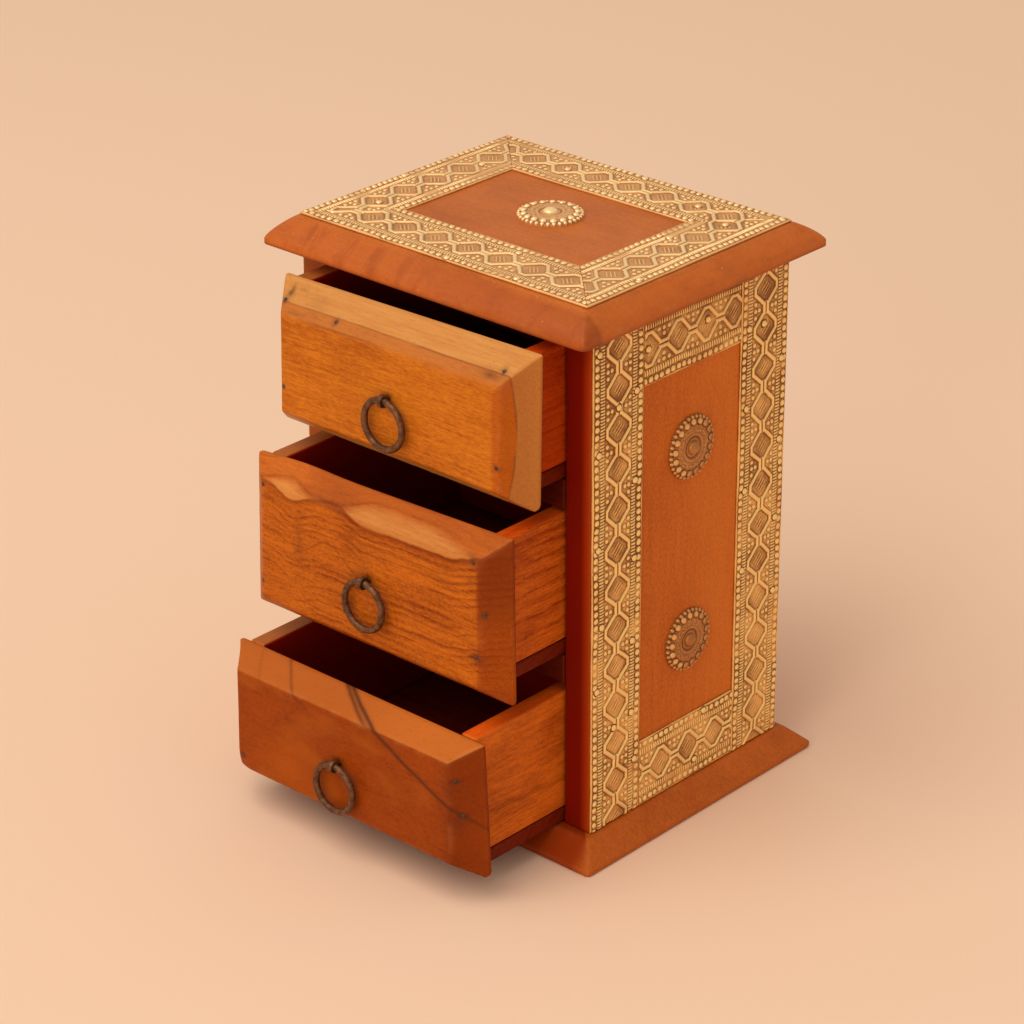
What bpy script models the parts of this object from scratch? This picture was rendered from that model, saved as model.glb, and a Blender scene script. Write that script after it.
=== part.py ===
"""Small three-drawer table-top chest in wood, with brass strips, rosettes and iron ring pulls.

Metres, +Z up, front towards -Y. The origin is the middle of the underside of the base board.
The drawers stand open and their rings hang.
"""
from math import atan2, cos, pi, sin, sqrt

import bmesh
import bpy
from mathutils import Matrix, Vector

MM = 0.001

# Clearances
SEAT_GAP = 0.3 * MM                 # between pieces that are fastened together
RUN_CLEARANCE = 0.4 * MM            # under a drawer, above its floor
SIDE_CLEARANCE = 0.8 * MM           # each side of a drawer in its opening
REAR_CLEARANCE = 2.0 * MM           # behind a closed drawer
RING_CLEARANCE = 0.3 * MM           # between a ring's wire and its eye
PIN_CLEARANCE = 0.3 * MM            # round a pin in its hole

# Carcass
CARCASS_WIDTH = 114.0 * MM
CARCASS_DEPTH = 89.0 * MM
CARCASS_HEIGHT = 160.5 * MM         # from the base board to the top board
SIDE_THICKNESS = 9.5 * MM
DIVIDER_THICKNESS = 9.5 * MM
BACK_THICKNESS = 6.0 * MM
BOARD_ROUND = 0.5 * MM              # rounding of plain board edges

# Base board: a vertical lip, then a sloped bevel up to a ledge round the carcass
BASE_HEIGHT = 8.2 * MM
BASE_OVERHANG_FRONT = 9.2 * MM
BASE_OVERHANG_SIDE = 8.0 * MM
BASE_BEVEL = 6.5 * MM
BASE_LIP = 1.8 * MM
BASE_ROUND = 0.8 * MM

# Top board
TOP_HEIGHT = 8.7 * MM
TOP_OVERHANG_FRONT = 10.5 * MM
TOP_OVERHANG_SIDE = 6.3 * MM
TOP_BEVEL_FRONT = 8.7 * MM
TOP_BEVEL_SIDE = 6.2 * MM
TOP_LIP = 2.6 * MM
TOP_ROUND = 1.1 * MM

# Drawers
FRONT_OVERLAP = 3.3 * MM            # of a front over the carcass side, each side
FRONT_DROP = 4.0 * MM               # of a front below the floor of its opening
FRONT_ABOVE_BASE = 0.5 * MM         # the lowest front stops short of the base board
FRONT_LIP = 1.2 * MM                # square edge behind a front's bevels
FRONT_ROUND = 0.5 * MM
BOX_BELOW_FRONT = 0.6 * MM          # drawer sides stop below the top of the front
BOX_SIDE_THICKNESS = 6.0 * MM
BOX_BACK_THICKNESS = 6.0 * MM
BOX_BOTTOM_THICKNESS = 4.6 * MM
LOWER_OPEN = 37.6 * MM              # how far each drawer stands open
MIDDLE_OPEN = 25.8 * MM
UPPER_OPEN = 13.6 * MM
LOWER_REVEAL = 2.4 * MM             # from a front's top to the top of its opening
MIDDLE_REVEAL = 0.4 * MM
UPPER_REVEAL = 4.3 * MM
LOWER_FRONT_THICKNESS = 9.5 * MM
MIDDLE_FRONT_THICKNESS = 7.2 * MM
UPPER_FRONT_THICKNESS = 9.5 * MM
LOWER_BEVEL_SIDE = 7.2 * MM         # widths of each front's bevels
LOWER_BEVEL_TOP = 5.2 * MM
LOWER_BEVEL_BOTTOM = 5.5 * MM
MIDDLE_BEVEL_SIDE = 7.2 * MM
MIDDLE_BEVEL_TOP = 6.4 * MM
MIDDLE_BEVEL_BOTTOM = 5.0 * MM
UPPER_BEVEL_SIDE = 8.0 * MM
UPPER_BEVEL_TOP = 8.6 * MM
UPPER_BEVEL_BOTTOM = 6.6 * MM

# Ring pulls
RING_DIAMETER = 17.2 * MM           # outside
RING_WIRE = 2.2 * MM                # diameter of the ring's bar
EYE_THICKNESS = 0.6 * MM            # of the strap that a split pin is bent from
EYE_WIDTH = 1.6 * MM
EYE_LEG_GAP = 0.3 * MM              # between the pin's two legs
EYE_BEND = 0.8 * MM                 # radius of the pin's bends
EYE_LEG = 5.0 * MM                  # length of a bent-over leg
RING_SEGMENTS = 36
RING_SIDES = 10
EYE_STEPS = 5                       # points for each quarter turn of the pin's strap

# Brass strips
STRIP_WIDTH = 22.0 * MM
STRIP_THICKNESS = 0.8 * MM
STRIP_MARGIN = 0.3 * MM             # from a side strip to the carcass corner
TOP_STRIP_MARGIN = 0.5 * MM         # from a top strip to the edge of the bevel

# Rosettes and their studs
ROSETTE_DIAMETER = 20.0 * MM
ROSETTE_EDGE = 0.5 * MM             # heights of the turned profile
ROSETTE_BEAD = 1.4 * MM
ROSETTE_DISH = 0.6 * MM
ROSETTE_BOSS = 1.0 * MM
ROSETTE_BEAD_WIDTH = 3.0 * MM
ROSETTE_BOSS_DIAMETER = 9.0 * MM
ROSETTE_FROM_STRIP = 26.2 * MM      # from a side rosette's centre to the nearest cross strip
TOP_ROSETTE_BACK = 2.5 * MM         # the top rosette sits a little behind the middle
STUD_HEAD_DIAMETER = 5.4 * MM
STUD_HEAD_HEIGHT = 1.3 * MM
STUD_SHANK_DIAMETER = 1.6 * MM
STUD_LENGTH = 6.0 * MM              # of the shank in the wood
TURN_STEPS = 28
STUD_STEPS = 14
DOME_STEPS = 4

# Roundness of edges, holes and turned pieces
ROUND_SEGMENTS = 2
ROUND_ANGLE = pi / 9                # flatter edges than this stay sharp
SMOOTH_ANGLE = pi / 5               # flatter edges than this are shaded smooth
HOLE_SIDES = 16
MERGE_DISTANCE = 0.01 * MM

# Levels and faces that several pieces share
BASE_TOP = BASE_HEIGHT
TOP_UNDERSIDE = BASE_TOP + CARCASS_HEIGHT
TOP_FACE = TOP_UNDERSIDE + TOP_HEIGHT
CARCASS_FRONT = -CARCASS_DEPTH / 2
BACK_FACE = CARCASS_DEPTH / 2 - BACK_THICKNESS
OPENING_WIDTH = CARCASS_WIDTH - 2 * SIDE_THICKNESS
OPENING_HEIGHT = (CARCASS_HEIGHT - 2 * DIVIDER_THICKNESS) / 3
FLOORS = [BASE_TOP + i * (OPENING_HEIGHT + DIVIDER_THICKNESS) for i in range(3)]
RING_RADIUS = (RING_DIAMETER - RING_WIRE) / 2
EYE_RADIUS = RING_WIRE / 2 + RING_CLEARANCE + EYE_THICKNESS / 2
LEG_OFFSET = (EYE_THICKNESS + EYE_LEG_GAP) / 2
EYE_REACH = sqrt((EYE_RADIUS + EYE_BEND) ** 2 - (LEG_OFFSET + EYE_BEND) ** 2)
EYE_HOLE_RADIUS = sqrt((LEG_OFFSET + EYE_THICKNESS / 2) ** 2 + (EYE_WIDTH / 2) ** 2) + PIN_CLEARANCE
STUD_HOLE_RADIUS = STUD_SHANK_DIAMETER / 2 + PIN_CLEARANCE

DRAWERS = (
    dict(name="lower", opened=LOWER_OPEN, reveal=LOWER_REVEAL, drop=-FRONT_ABOVE_BASE,
         thickness=LOWER_FRONT_THICKNESS, colour=(0.33, 0.085, 0.02),
         bevels=(LOWER_BEVEL_SIDE, LOWER_BEVEL_TOP, LOWER_BEVEL_BOTTOM)),
    dict(name="middle", opened=MIDDLE_OPEN, reveal=MIDDLE_REVEAL, drop=FRONT_DROP,
         thickness=MIDDLE_FRONT_THICKNESS, colour=(0.40, 0.12, 0.025),
         bevels=(MIDDLE_BEVEL_SIDE, MIDDLE_BEVEL_TOP, MIDDLE_BEVEL_BOTTOM)),
    dict(name="upper", opened=UPPER_OPEN, reveal=UPPER_REVEAL, drop=FRONT_DROP,
         thickness=UPPER_FRONT_THICKNESS, colour=(0.52, 0.19, 0.04),
         bevels=(UPPER_BEVEL_SIDE, UPPER_BEVEL_TOP, UPPER_BEVEL_BOTTOM)),
)


def clear_scene():
    for old in list(bpy.data.objects):
        bpy.data.objects.remove(old, do_unlink=True)


def new_collection(name):
    collection = bpy.data.collections.new(name)
    bpy.context.scene.collection.children.link(collection)
    return collection


def make_material(name, colour, roughness, metallic=0.0):
    material = bpy.data.materials.new(name)
    material.use_nodes = True
    shader = material.node_tree.nodes["Principled BSDF"]
    shader.inputs["Base Color"].default_value = (*colour, 1.0)
    shader.inputs["Roughness"].default_value = roughness
    shader.inputs["Metallic"].default_value = metallic
    return material


clear_scene()
PARTS = new_collection("chest_of_drawers")
CUTTERS = new_collection("cutters")

PANEL_WOOD = make_material("panel_wood", (0.37, 0.11, 0.025), 0.45)
TOP_WOOD = make_material("top_wood", (0.36, 0.10, 0.022), 0.42)
EDGE_WOOD = make_material("divider_wood", (0.16, 0.025, 0.008), 0.5)
BOX_WOOD = make_material("drawer_box_wood", (0.42, 0.14, 0.03), 0.5)
BOTTOM_WOOD = make_material("drawer_bottom_wood", (0.20, 0.045, 0.012), 0.55)
BRASS = make_material("embossed_brass", (0.62, 0.42, 0.14), 0.4, 1.0)
BRONZE = make_material("aged_bronze", (0.35, 0.20, 0.08), 0.45, 1.0)
IRON = make_material("dark_iron", (0.09, 0.06, 0.04), 0.5, 0.9)


def finish(obj, material, parent=None):
    """Links an object and gives it its material and parent."""
    obj.data.materials.append(material)
    PARTS.objects.link(obj)
    obj.parent = parent
    return obj


def mesh_object(name, bm):
    bmesh.ops.recalc_face_normals(bm, faces=bm.faces)
    mesh = bpy.data.meshes.new(name)
    bm.to_mesh(mesh)
    bm.free()
    return bpy.data.objects.new(name, mesh)


def round_edges(obj, width):
    bevel = obj.modifiers.new("rounded_edges", "BEVEL")
    bevel.width = width
    bevel.segments = ROUND_SEGMENTS
    bevel.limit_method = "ANGLE"
    bevel.angle_limit = ROUND_ANGLE
    return obj


def shade_round(obj):
    obj.data.shade_smooth()
    obj.data.set_sharp_from_angle(angle=SMOOTH_ANGLE)
    return obj


def board(name, low, high, material, parent=None, rounding=BOARD_ROUND):
    """A plain board between two corners, with its edges rounded."""
    low, high = Vector(low), Vector(high)
    bm = bmesh.new()
    bmesh.ops.create_cube(bm, size=1.0)
    bmesh.ops.scale(bm, vec=high - low, verts=bm.verts)
    obj = mesh_object(name, bm)
    obj.location = (low + high) / 2
    if rounding:
        round_edges(obj, rounding)
    return finish(obj, material, parent)


def bevelled_board(name, size, lip, runs, rounding, material, parent=None):
    """A board on its own local XY plane: a square lip, then bevels up to a smaller upper face.

    runs gives the bevel widths towards -X, +X, -Y and +Y.
    """
    height = size[2]
    bm = bmesh.new()
    bmesh.ops.create_cube(bm, size=1.0)
    bmesh.ops.scale(bm, vec=size, verts=bm.verts)
    bmesh.ops.translate(bm, vec=(0, 0, height / 2), verts=bm.verts)
    upper = [v for v in bm.verts if v.co.z > height / 2]
    everything = bm.verts[:] + bm.edges[:] + bm.faces[:]
    bmesh.ops.bisect_plane(bm, geom=everything, plane_co=(0, 0, lip), plane_no=(0, 0, 1))
    for v in upper:
        v.co.x += runs[0] if v.co.x < 0 else -runs[1]
        v.co.y += runs[2] if v.co.y < 0 else -runs[3]
    return finish(round_edges(mesh_object(name, bm), rounding), material, parent)


def drill(obj, centre, direction, radius, length):
    """Cuts a round hole through or into a piece; centre and direction are in the piece's parent's frame."""
    bm = bmesh.new()
    bmesh.ops.create_cone(bm, cap_ends=True, segments=HOLE_SIDES, radius1=radius, radius2=radius,
                          depth=length)
    cutter = mesh_object(obj.name + "_hole", bm)
    cutter.location = centre
    cutter.rotation_euler = Vector(direction).to_track_quat("Z", "Y").to_euler()
    cutter.parent = obj.parent
    cutter.hide_render = True
    cutter.display_type = "WIRE"
    CUTTERS.objects.link(cutter)
    cut = obj.modifiers.new("hole", "BOOLEAN")
    cut.operation = "DIFFERENCE"
    cut.object = cutter


def turned(name, profile, closed, steps, material):
    """A shape turned about its own Z axis from (radius, height) points, listed outer side downwards."""
    bm = bmesh.new()
    points = [bm.verts.new((radius, 0, height)) for radius, height in profile]
    pairs = list(zip(points, points[1:]))
    if closed:
        pairs.append((points[-1], points[0]))
    for pair in pairs:
        bm.edges.new(pair)
    mesh = bpy.data.meshes.new(name)
    bm.to_mesh(mesh)
    bm.free()
    obj = bpy.data.objects.new(name, mesh)
    screw = obj.modifiers.new("turned", "SCREW")
    screw.steps = steps
    screw.render_steps = steps
    screw.use_merge_vertices = True
    screw.merge_threshold = MERGE_DISTANCE
    return finish(obj, material)


def build_carcass():
    half_width, half_depth = CARCASS_WIDTH / 2, CARCASS_DEPTH / 2
    base_size = (CARCASS_WIDTH + 2 * BASE_OVERHANG_SIDE, CARCASS_DEPTH + 2 * BASE_OVERHANG_FRONT,
                 BASE_HEIGHT)
    bevelled_board("base_board", base_size, BASE_LIP, [BASE_BEVEL] * 4, BASE_ROUND, TOP_WOOD)

    wall_low, wall_high = BASE_TOP + SEAT_GAP, TOP_UNDERSIDE - SEAT_GAP
    inner = OPENING_WIDTH / 2
    sides = {}
    for side, sign in (("left", -1), ("right", 1)):
        x_low, x_high = sorted((sign * inner, sign * half_width))
        sides[side] = board(side + "_side_panel", (x_low, CARCASS_FRONT, wall_low),
                            (x_high, half_depth, wall_high), PANEL_WOOD)

    fitted = inner - SEAT_GAP
    board("back_panel", (-fitted, BACK_FACE, wall_low), (fitted, half_depth, wall_high), PANEL_WOOD)
    for name, floor in (("lower_divider", FLOORS[1]), ("upper_divider", FLOORS[2])):
        board(name, (-fitted, CARCASS_FRONT, floor - DIVIDER_THICKNESS),
              (fitted, BACK_FACE - SEAT_GAP, floor), EDGE_WOOD)

    top_size = (CARCASS_WIDTH + 2 * TOP_OVERHANG_SIDE, CARCASS_DEPTH + 2 * TOP_OVERHANG_FRONT, TOP_HEIGHT)
    top_runs = [TOP_BEVEL_SIDE, TOP_BEVEL_SIDE, TOP_BEVEL_FRONT, TOP_BEVEL_FRONT]
    top = bevelled_board("top_board", top_size, TOP_LIP, top_runs, TOP_ROUND, TOP_WOOD)
    top.location.z = TOP_UNDERSIDE
    return top, sides


def mitred_strip(name, length, material):
    """A strip along its own X axis, with its outer long edge at Y = 0 and its ends mitred inwards."""
    bm = bmesh.new()
    bmesh.ops.create_cube(bm, size=1.0)
    bmesh.ops.scale(bm, vec=(length, STRIP_WIDTH, STRIP_THICKNESS), verts=bm.verts)
    bmesh.ops.translate(bm, vec=(0, STRIP_WIDTH / 2, STRIP_THICKNESS / 2), verts=bm.verts)
    for v in bm.verts:
        if v.co.y > STRIP_WIDTH / 2:
            v.co.x -= STRIP_WIDTH if v.co.x > 0 else -STRIP_WIDTH
    return finish(mesh_object(name, bm), material)


def build_top_strips():
    half_x = CARCASS_WIDTH / 2 + TOP_OVERHANG_SIDE - TOP_BEVEL_SIDE - TOP_STRIP_MARGIN
    half_y = CARCASS_DEPTH / 2 + TOP_OVERHANG_FRONT - TOP_BEVEL_FRONT - TOP_STRIP_MARGIN
    level = TOP_FACE + SEAT_GAP
    mitre_gap = SEAT_GAP * sqrt(2)
    layout = (("front", half_x, half_y, 0), ("right", half_y, half_x, pi / 2),
              ("back", half_x, half_y, pi), ("left", half_y, half_x, -pi / 2))
    for side, half_length, reach, turn in layout:
        strip = mitred_strip("top_" + side + "_strip", 2 * half_length - mitre_gap, BRASS)
        strip.rotation_euler.z = turn
        strip.location = Matrix.Rotation(turn, 3, "Z") @ Vector((0, -reach, 0)) + Vector((0, 0, level))


def build_side_strips():
    low, high = BASE_TOP + SEAT_GAP, TOP_UNDERSIDE - SEAT_GAP
    outer = CARCASS_DEPTH / 2 - STRIP_MARGIN
    inner = outer - STRIP_WIDTH
    between = inner - SEAT_GAP
    places = {
        "front": ((-outer, low), (-inner, high)),
        "rear": ((inner, low), (outer, high)),
        "upper": ((-between, high - STRIP_WIDTH), (between, high)),
        "lower": ((-between, low), (between, low + STRIP_WIDTH)),
    }
    near = CARCASS_WIDTH / 2 + SEAT_GAP
    for side, sign in (("left", -1), ("right", 1)):
        x_low, x_high = sorted((sign * near, sign * (near + STRIP_THICKNESS)))
        for place, (start, end) in places.items():
            board(side + "_" + place + "_strip", (x_low, *start), (x_high, *end), BRASS, rounding=0)


def rosette_profile():
    """Closed (radius, height) outline of a rosette: rim, bead ring, dish and boss round a hole."""
    rim = ROSETTE_DIAMETER / 2
    bead_inner = rim - ROSETTE_BEAD_WIDTH
    boss = ROSETTE_BOSS_DIAMETER / 2
    hole = STUD_HOLE_RADIUS
    return [(hole, ROSETTE_BOSS), (boss, ROSETTE_BOSS), ((boss + bead_inner) / 2, ROSETTE_DISH),
            (bead_inner, ROSETTE_DISH), (rim - ROSETTE_BEAD_WIDTH * 2 / 3, ROSETTE_BEAD),
            (rim - ROSETTE_BEAD_WIDTH / 3, ROSETTE_BEAD), (rim, ROSETTE_EDGE), (rim, 0), (hole, 0)]


def stud_profile():
    """(radius, height) points of a domed stud, from the top of its head down to the shank's end."""
    head, shank = STUD_HEAD_DIAMETER / 2, STUD_SHANK_DIAMETER / 2
    seat = ROSETTE_BOSS + SEAT_GAP
    dome = [(head * sin(pi / 2 * i / DOME_STEPS), seat + STUD_HEAD_HEIGHT * cos(pi / 2 * i / DOME_STEPS))
            for i in range(DOME_STEPS + 1)]
    tip = -SEAT_GAP - STUD_LENGTH
    return dome + [(shank, seat), (shank, tip), (0, tip)]


def build_rosette(name, panel, centre, outward, material):
    """A rosette and its stud on a panel face; the stud's shank has a hole in the panel."""
    centre, outward = Vector(centre), Vector(outward)
    turn = outward.to_track_quat("Z", "Y").to_euler()
    for label, profile, closed, steps in (("rosette", rosette_profile(), True, TURN_STEPS),
                                          ("rosette_stud", stud_profile(), False, STUD_STEPS)):
        piece = turned(name + "_" + label, profile, closed, steps, material)
        piece.location = centre + outward * SEAT_GAP
        piece.rotation_euler = turn
        shade_round(piece)
    reach = STUD_LENGTH + PIN_CLEARANCE
    drill(panel, centre, outward, STUD_HOLE_RADIUS, 2 * reach)


def build_rosettes(top, sides):
    build_rosette("top", top, (0, TOP_ROSETTE_BACK, TOP_FACE), (0, 0, 1), BRASS)
    heights = {
        "upper": TOP_UNDERSIDE - SEAT_GAP - STRIP_WIDTH - ROSETTE_FROM_STRIP,
        "lower": BASE_TOP + SEAT_GAP + STRIP_WIDTH + ROSETTE_FROM_STRIP,
    }
    for side, sign in (("left", -1), ("right", 1)):
        for place, height in heights.items():
            build_rosette(side + "_" + place, sides[side], (sign * CARCASS_WIDTH / 2, 0, height),
                          (sign, 0, 0), BRONZE)


def arc(centre, radius, start, end):
    """Points on an arc in the YZ plane; angles from +Y towards +Z."""
    count = max(2, round(EYE_STEPS * abs(end - start) / (pi / 2)))
    turns = [start + (end - start) * i / count for i in range(count + 1)]
    return [(centre[0] + radius * cos(turn), centre[1] + radius * sin(turn)) for turn in turns]


def eye_half(front_thickness):
    """(y, z) points of the upper half of a split pin, from its bent leg's tip to the front of its loop.

    Y = 0 is the drawer front's face, and the pin's centre line is Z = 0.
    """
    rise = LEG_OFFSET + EYE_BEND
    behind = front_thickness + SEAT_GAP + EYE_THICKNESS / 2
    slope = atan2(rise, EYE_REACH)
    leg = [(behind, rise + EYE_LEG)]
    clinch = arc((behind - EYE_BEND, rise), EYE_BEND, 0, -pi / 2)
    neck = arc((0, rise), EYE_BEND, -pi / 2, -pi + slope)
    loop = arc((-EYE_REACH, 0), EYE_RADIUS, slope, pi)
    return leg + clinch + neck + loop[1:]


def build_eye(name, centre, front_thickness, parent):
    """A split pin of flat strap: a ribbon along the pin's path, given the strap's thickness."""
    upper = eye_half(front_thickness)
    points = upper + [(y, -z) for y, z in reversed(upper[:-1])]
    curve = bpy.data.curves.new(name, "CURVE")
    curve.dimensions = "2D"
    curve.fill_mode = "NONE"
    curve.extrude = EYE_WIDTH / 2
    spline = curve.splines.new("POLY")
    spline.points.add(len(points) - 1)
    for point, (y, z) in zip(spline.points, points):
        point.co = (y, z, 0, 1)
    spline.use_smooth = True
    obj = bpy.data.objects.new(name, curve)
    strap = obj.modifiers.new("strap", "SOLIDIFY")
    strap.thickness = EYE_THICKNESS
    strap.offset = 0
    strap.use_even_offset = True
    obj.location = centre
    obj.rotation_euler = (pi / 2, 0, pi / 2)
    return finish(obj, IRON, parent)


def build_ring(name, pivot, parent):
    """A ring whose origin is on the axis it swings about, through the middle of its eye."""
    bpy.ops.mesh.primitive_torus_add(major_radius=RING_RADIUS, minor_radius=RING_WIRE / 2,
                                     major_segments=RING_SEGMENTS, minor_segments=RING_SIDES)
    obj = bpy.context.object
    for old in list(obj.users_collection):
        old.objects.unlink(obj)
    obj.name = name
    upright = Matrix.Translation((0, 0, -RING_RADIUS)) @ Matrix.Rotation(pi / 2, 4, "X")
    obj.data.transform(upright)
    obj.location = pivot
    shade_round(obj)
    return finish(obj, IRON, parent)


def build_drawer(drawer, floor):
    """One drawer, modelled closed under an empty that is then drawn out."""
    label, thickness = drawer["name"], drawer["thickness"]
    runner = bpy.data.objects.new(label + "_drawer_slide", None)
    runner.location = (0, -drawer["opened"], floor)
    PARTS.objects.link(runner)
    front_wood = make_material(label + "_front_wood", drawer["colour"], 0.45)

    side_bevel, top_bevel, bottom_bevel = drawer["bevels"]
    front_low, front_high = -drawer["drop"], OPENING_HEIGHT - drawer["reveal"]
    front_back = CARCASS_FRONT - SEAT_GAP
    front_middle = (front_low + front_high) / 2
    front_size = (OPENING_WIDTH + 2 * FRONT_OVERLAP, front_high - front_low, thickness)
    front = bevelled_board(label + "_drawer_front", front_size, FRONT_LIP,
                           [side_bevel, side_bevel, bottom_bevel, top_bevel],
                           FRONT_ROUND, front_wood, runner)
    front.location = (0, front_back, front_middle)
    front.rotation_euler.x = pi / 2

    outer = OPENING_WIDTH / 2 - SIDE_CLEARANCE
    box_front = front_back + SEAT_GAP
    box_back = BACK_FACE - REAR_CLEARANCE
    bottom_low = RUN_CLEARANCE
    bottom_high = bottom_low + BOX_BOTTOM_THICKNESS
    wall_low, wall_high = bottom_high + SEAT_GAP, front_high - BOX_BELOW_FRONT
    board(label + "_drawer_bottom", (-outer, box_front, bottom_low), (outer, box_back, bottom_high),
          BOTTOM_WOOD, runner)
    for side, sign in (("left", -1), ("right", 1)):
        x_low, x_high = sorted((sign * outer, sign * (outer - BOX_SIDE_THICKNESS)))
        board(label + "_drawer_" + side + "_side", (x_low, box_front, wall_low),
              (x_high, box_back, wall_high), BOX_WOOD, runner)
    inner = outer - BOX_SIDE_THICKNESS - SEAT_GAP
    board(label + "_drawer_back", (-inner, box_back - BOX_BACK_THICKNESS, wall_low),
          (inner, box_back, wall_high), BOX_WOOD, runner)

    face = front_back - thickness
    build_eye(label + "_ring_eye", (0, face, front_middle), thickness, runner)
    build_ring(label + "_ring_pull", (0, face - EYE_REACH, front_middle), runner)
    drill(front, (0, face + thickness / 2, front_middle), (0, -1, 0), EYE_HOLE_RADIUS, 2 * thickness)


def main():
    top, sides = build_carcass()
    build_top_strips()
    build_side_strips()
    build_rosettes(top, sides)
    for drawer, floor in zip(DRAWERS, FLOORS):
        build_drawer(drawer, floor)
    bpy.context.view_layer.update()


main()
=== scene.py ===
"""Looks of a small three-drawer table-top chest: polished wood, embossed brass and iron ring pulls.

The frame is in metres, +Z up, with the drawer fronts towards -Y. Shapes below are worked out in millimetres.
"""
from math import cos, pi, radians, sin, sqrt
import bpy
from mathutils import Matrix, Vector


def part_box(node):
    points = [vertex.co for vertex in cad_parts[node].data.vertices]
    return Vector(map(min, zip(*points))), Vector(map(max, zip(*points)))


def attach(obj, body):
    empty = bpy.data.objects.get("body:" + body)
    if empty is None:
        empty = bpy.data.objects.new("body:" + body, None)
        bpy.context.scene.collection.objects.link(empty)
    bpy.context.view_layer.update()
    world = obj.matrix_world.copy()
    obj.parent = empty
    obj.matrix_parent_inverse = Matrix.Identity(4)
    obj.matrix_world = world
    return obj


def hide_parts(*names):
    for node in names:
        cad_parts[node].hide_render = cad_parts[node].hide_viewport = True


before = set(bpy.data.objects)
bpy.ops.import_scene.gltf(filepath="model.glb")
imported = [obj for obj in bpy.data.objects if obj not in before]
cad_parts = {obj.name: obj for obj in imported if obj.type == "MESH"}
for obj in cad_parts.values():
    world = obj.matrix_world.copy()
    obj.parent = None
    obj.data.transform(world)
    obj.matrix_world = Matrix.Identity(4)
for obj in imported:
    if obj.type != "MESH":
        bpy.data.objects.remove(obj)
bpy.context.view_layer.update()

from types import SimpleNamespace

import bpy
import numpy as np
from mathutils import Matrix, Vector

MM = 0.001
BAKE_MAP = "OFBake"

# Camera, solved from the photograph's perspective
PHOTO_SIZE = 1024
FOCAL_PIXELS = 3454.3
CAMERA_AZIMUTH = 42.31
CAMERA_ELEVATION = 25.48
CAMERA_ROLL = -0.272
CAMERA_OFFSET = (10.47, -72.94, 1098.64)   # right, up and distance, in millimetres
SENSOR_WIDTH = 36.0

# Meshes
BOARD_STEP = 0.5
STRIP_STEP = 0.2

# Embossed strip: places across it are measured from its middle line
STRIP_HALF = 11.0
BEAD_ROW, BEAD_PITCH, BEAD_RADIUS, BEAD_HEIGHT = 9.4, 2.43, 0.96, 0.58
ROPE_ROW, ROPE_PITCH, ROPE_HALF, ROPE_HEIGHT, ROPE_SLANT = 6.95, 1.0, 0.95, 0.42, 0.05
LINK_PITCH = 12.75
LINK_OUTER, LINK_FLAT = 5.6, 1.4           # a link's outline: half width, and half length at that width
NECK_HALF, NECK_START = 1.5, 5.3           # where the outline has narrowed to the neck
PANEL_ACROSS, PANEL_ALONG = 4.35, 4.15     # half sizes of the link's panel
BAR_WIDTH, BAR_HEIGHT = 1.35, 0.46         # the raised bars round the panel
GROOVE_HALF = 0.13
PANEL_DEPTH = 0.10
HATCH_PITCH, HATCH_HEIGHT, HATCH_FOCUS, HATCH_RUN = 1.15, 0.28, 1.9, 2.0
SEED_RADIUS, SEED_HEIGHT = 0.70, 0.38
SEEDS = ((4.75, -2.15), (4.75, 0.0), (4.75, 2.15), (3.05, 0.0))   # across, and along from the neck
SHEET_EDGE = 0.30                          # height of the sheet's ground above the wood
RIM_HEIGHT = 0.14
MITRE_REACH = 0.18                         # how much a mitred strip's ends close their gap
SEAT_GAP = 0.25                            # how far a brass piece reaches down to the wood
GROUND_SHADE, CAVITY_SHADE, EDGE_SHADE, HEIGHT_SHADE, PANEL_SHADE = 0.31, 1.25, 1.9, 1.05, -0.06


def soft_noise(x, y, cell, seed):
    """Smooth noise from -1 to 1 that changes over about one cell."""
    size = 64
    knots = np.random.default_rng(seed).uniform(-1, 1, (size, size))
    gx, gy = x / cell, y / cell
    ix, iy = np.floor(gx).astype(int), np.floor(gy).astype(int)
    fx, fy = gx - ix, gy - iy
    fx, fy = fx * fx * (3 - 2 * fx), fy * fy * (3 - 2 * fy)
    ix, iy, jx, jy = ix % size, iy % size, (ix + 1) % size, (iy + 1) % size
    low = knots[ix, iy] * (1 - fx) + knots[jx, iy] * fx
    high = knots[ix, jy] * (1 - fx) + knots[jx, jy] * fx
    return low * (1 - fy) + high * fy


def smooth_step(value, low, high):
    t = np.clip((value - low) / (high - low), 0, 1)
    return t * t * (3 - 2 * t)


def blurred(values, reach):
    """Mean over a square of cells, reach cells to each side."""
    for axis in (0, 1):
        margin = [(0, 0), (0, 0)]
        margin[axis] = (reach, reach)
        padded = np.pad(values, margin, mode="edge")
        count = values.shape[axis]
        parts = [np.take(padded, range(k, k + count), axis) for k in range(2 * reach + 1)]
        values = sum(parts) / len(parts)
    return values


def stations(length, step, margin=0.8, fine=5):
    """Distances from 0 to length: close together near both ends and about a step apart between."""
    count = max(2, round((length - 2 * margin) / step))
    start = np.linspace(0, margin, fine)[:-1]
    return np.concatenate((start, np.linspace(margin, length - margin, count + 1), (length - start)[::-1]))


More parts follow.
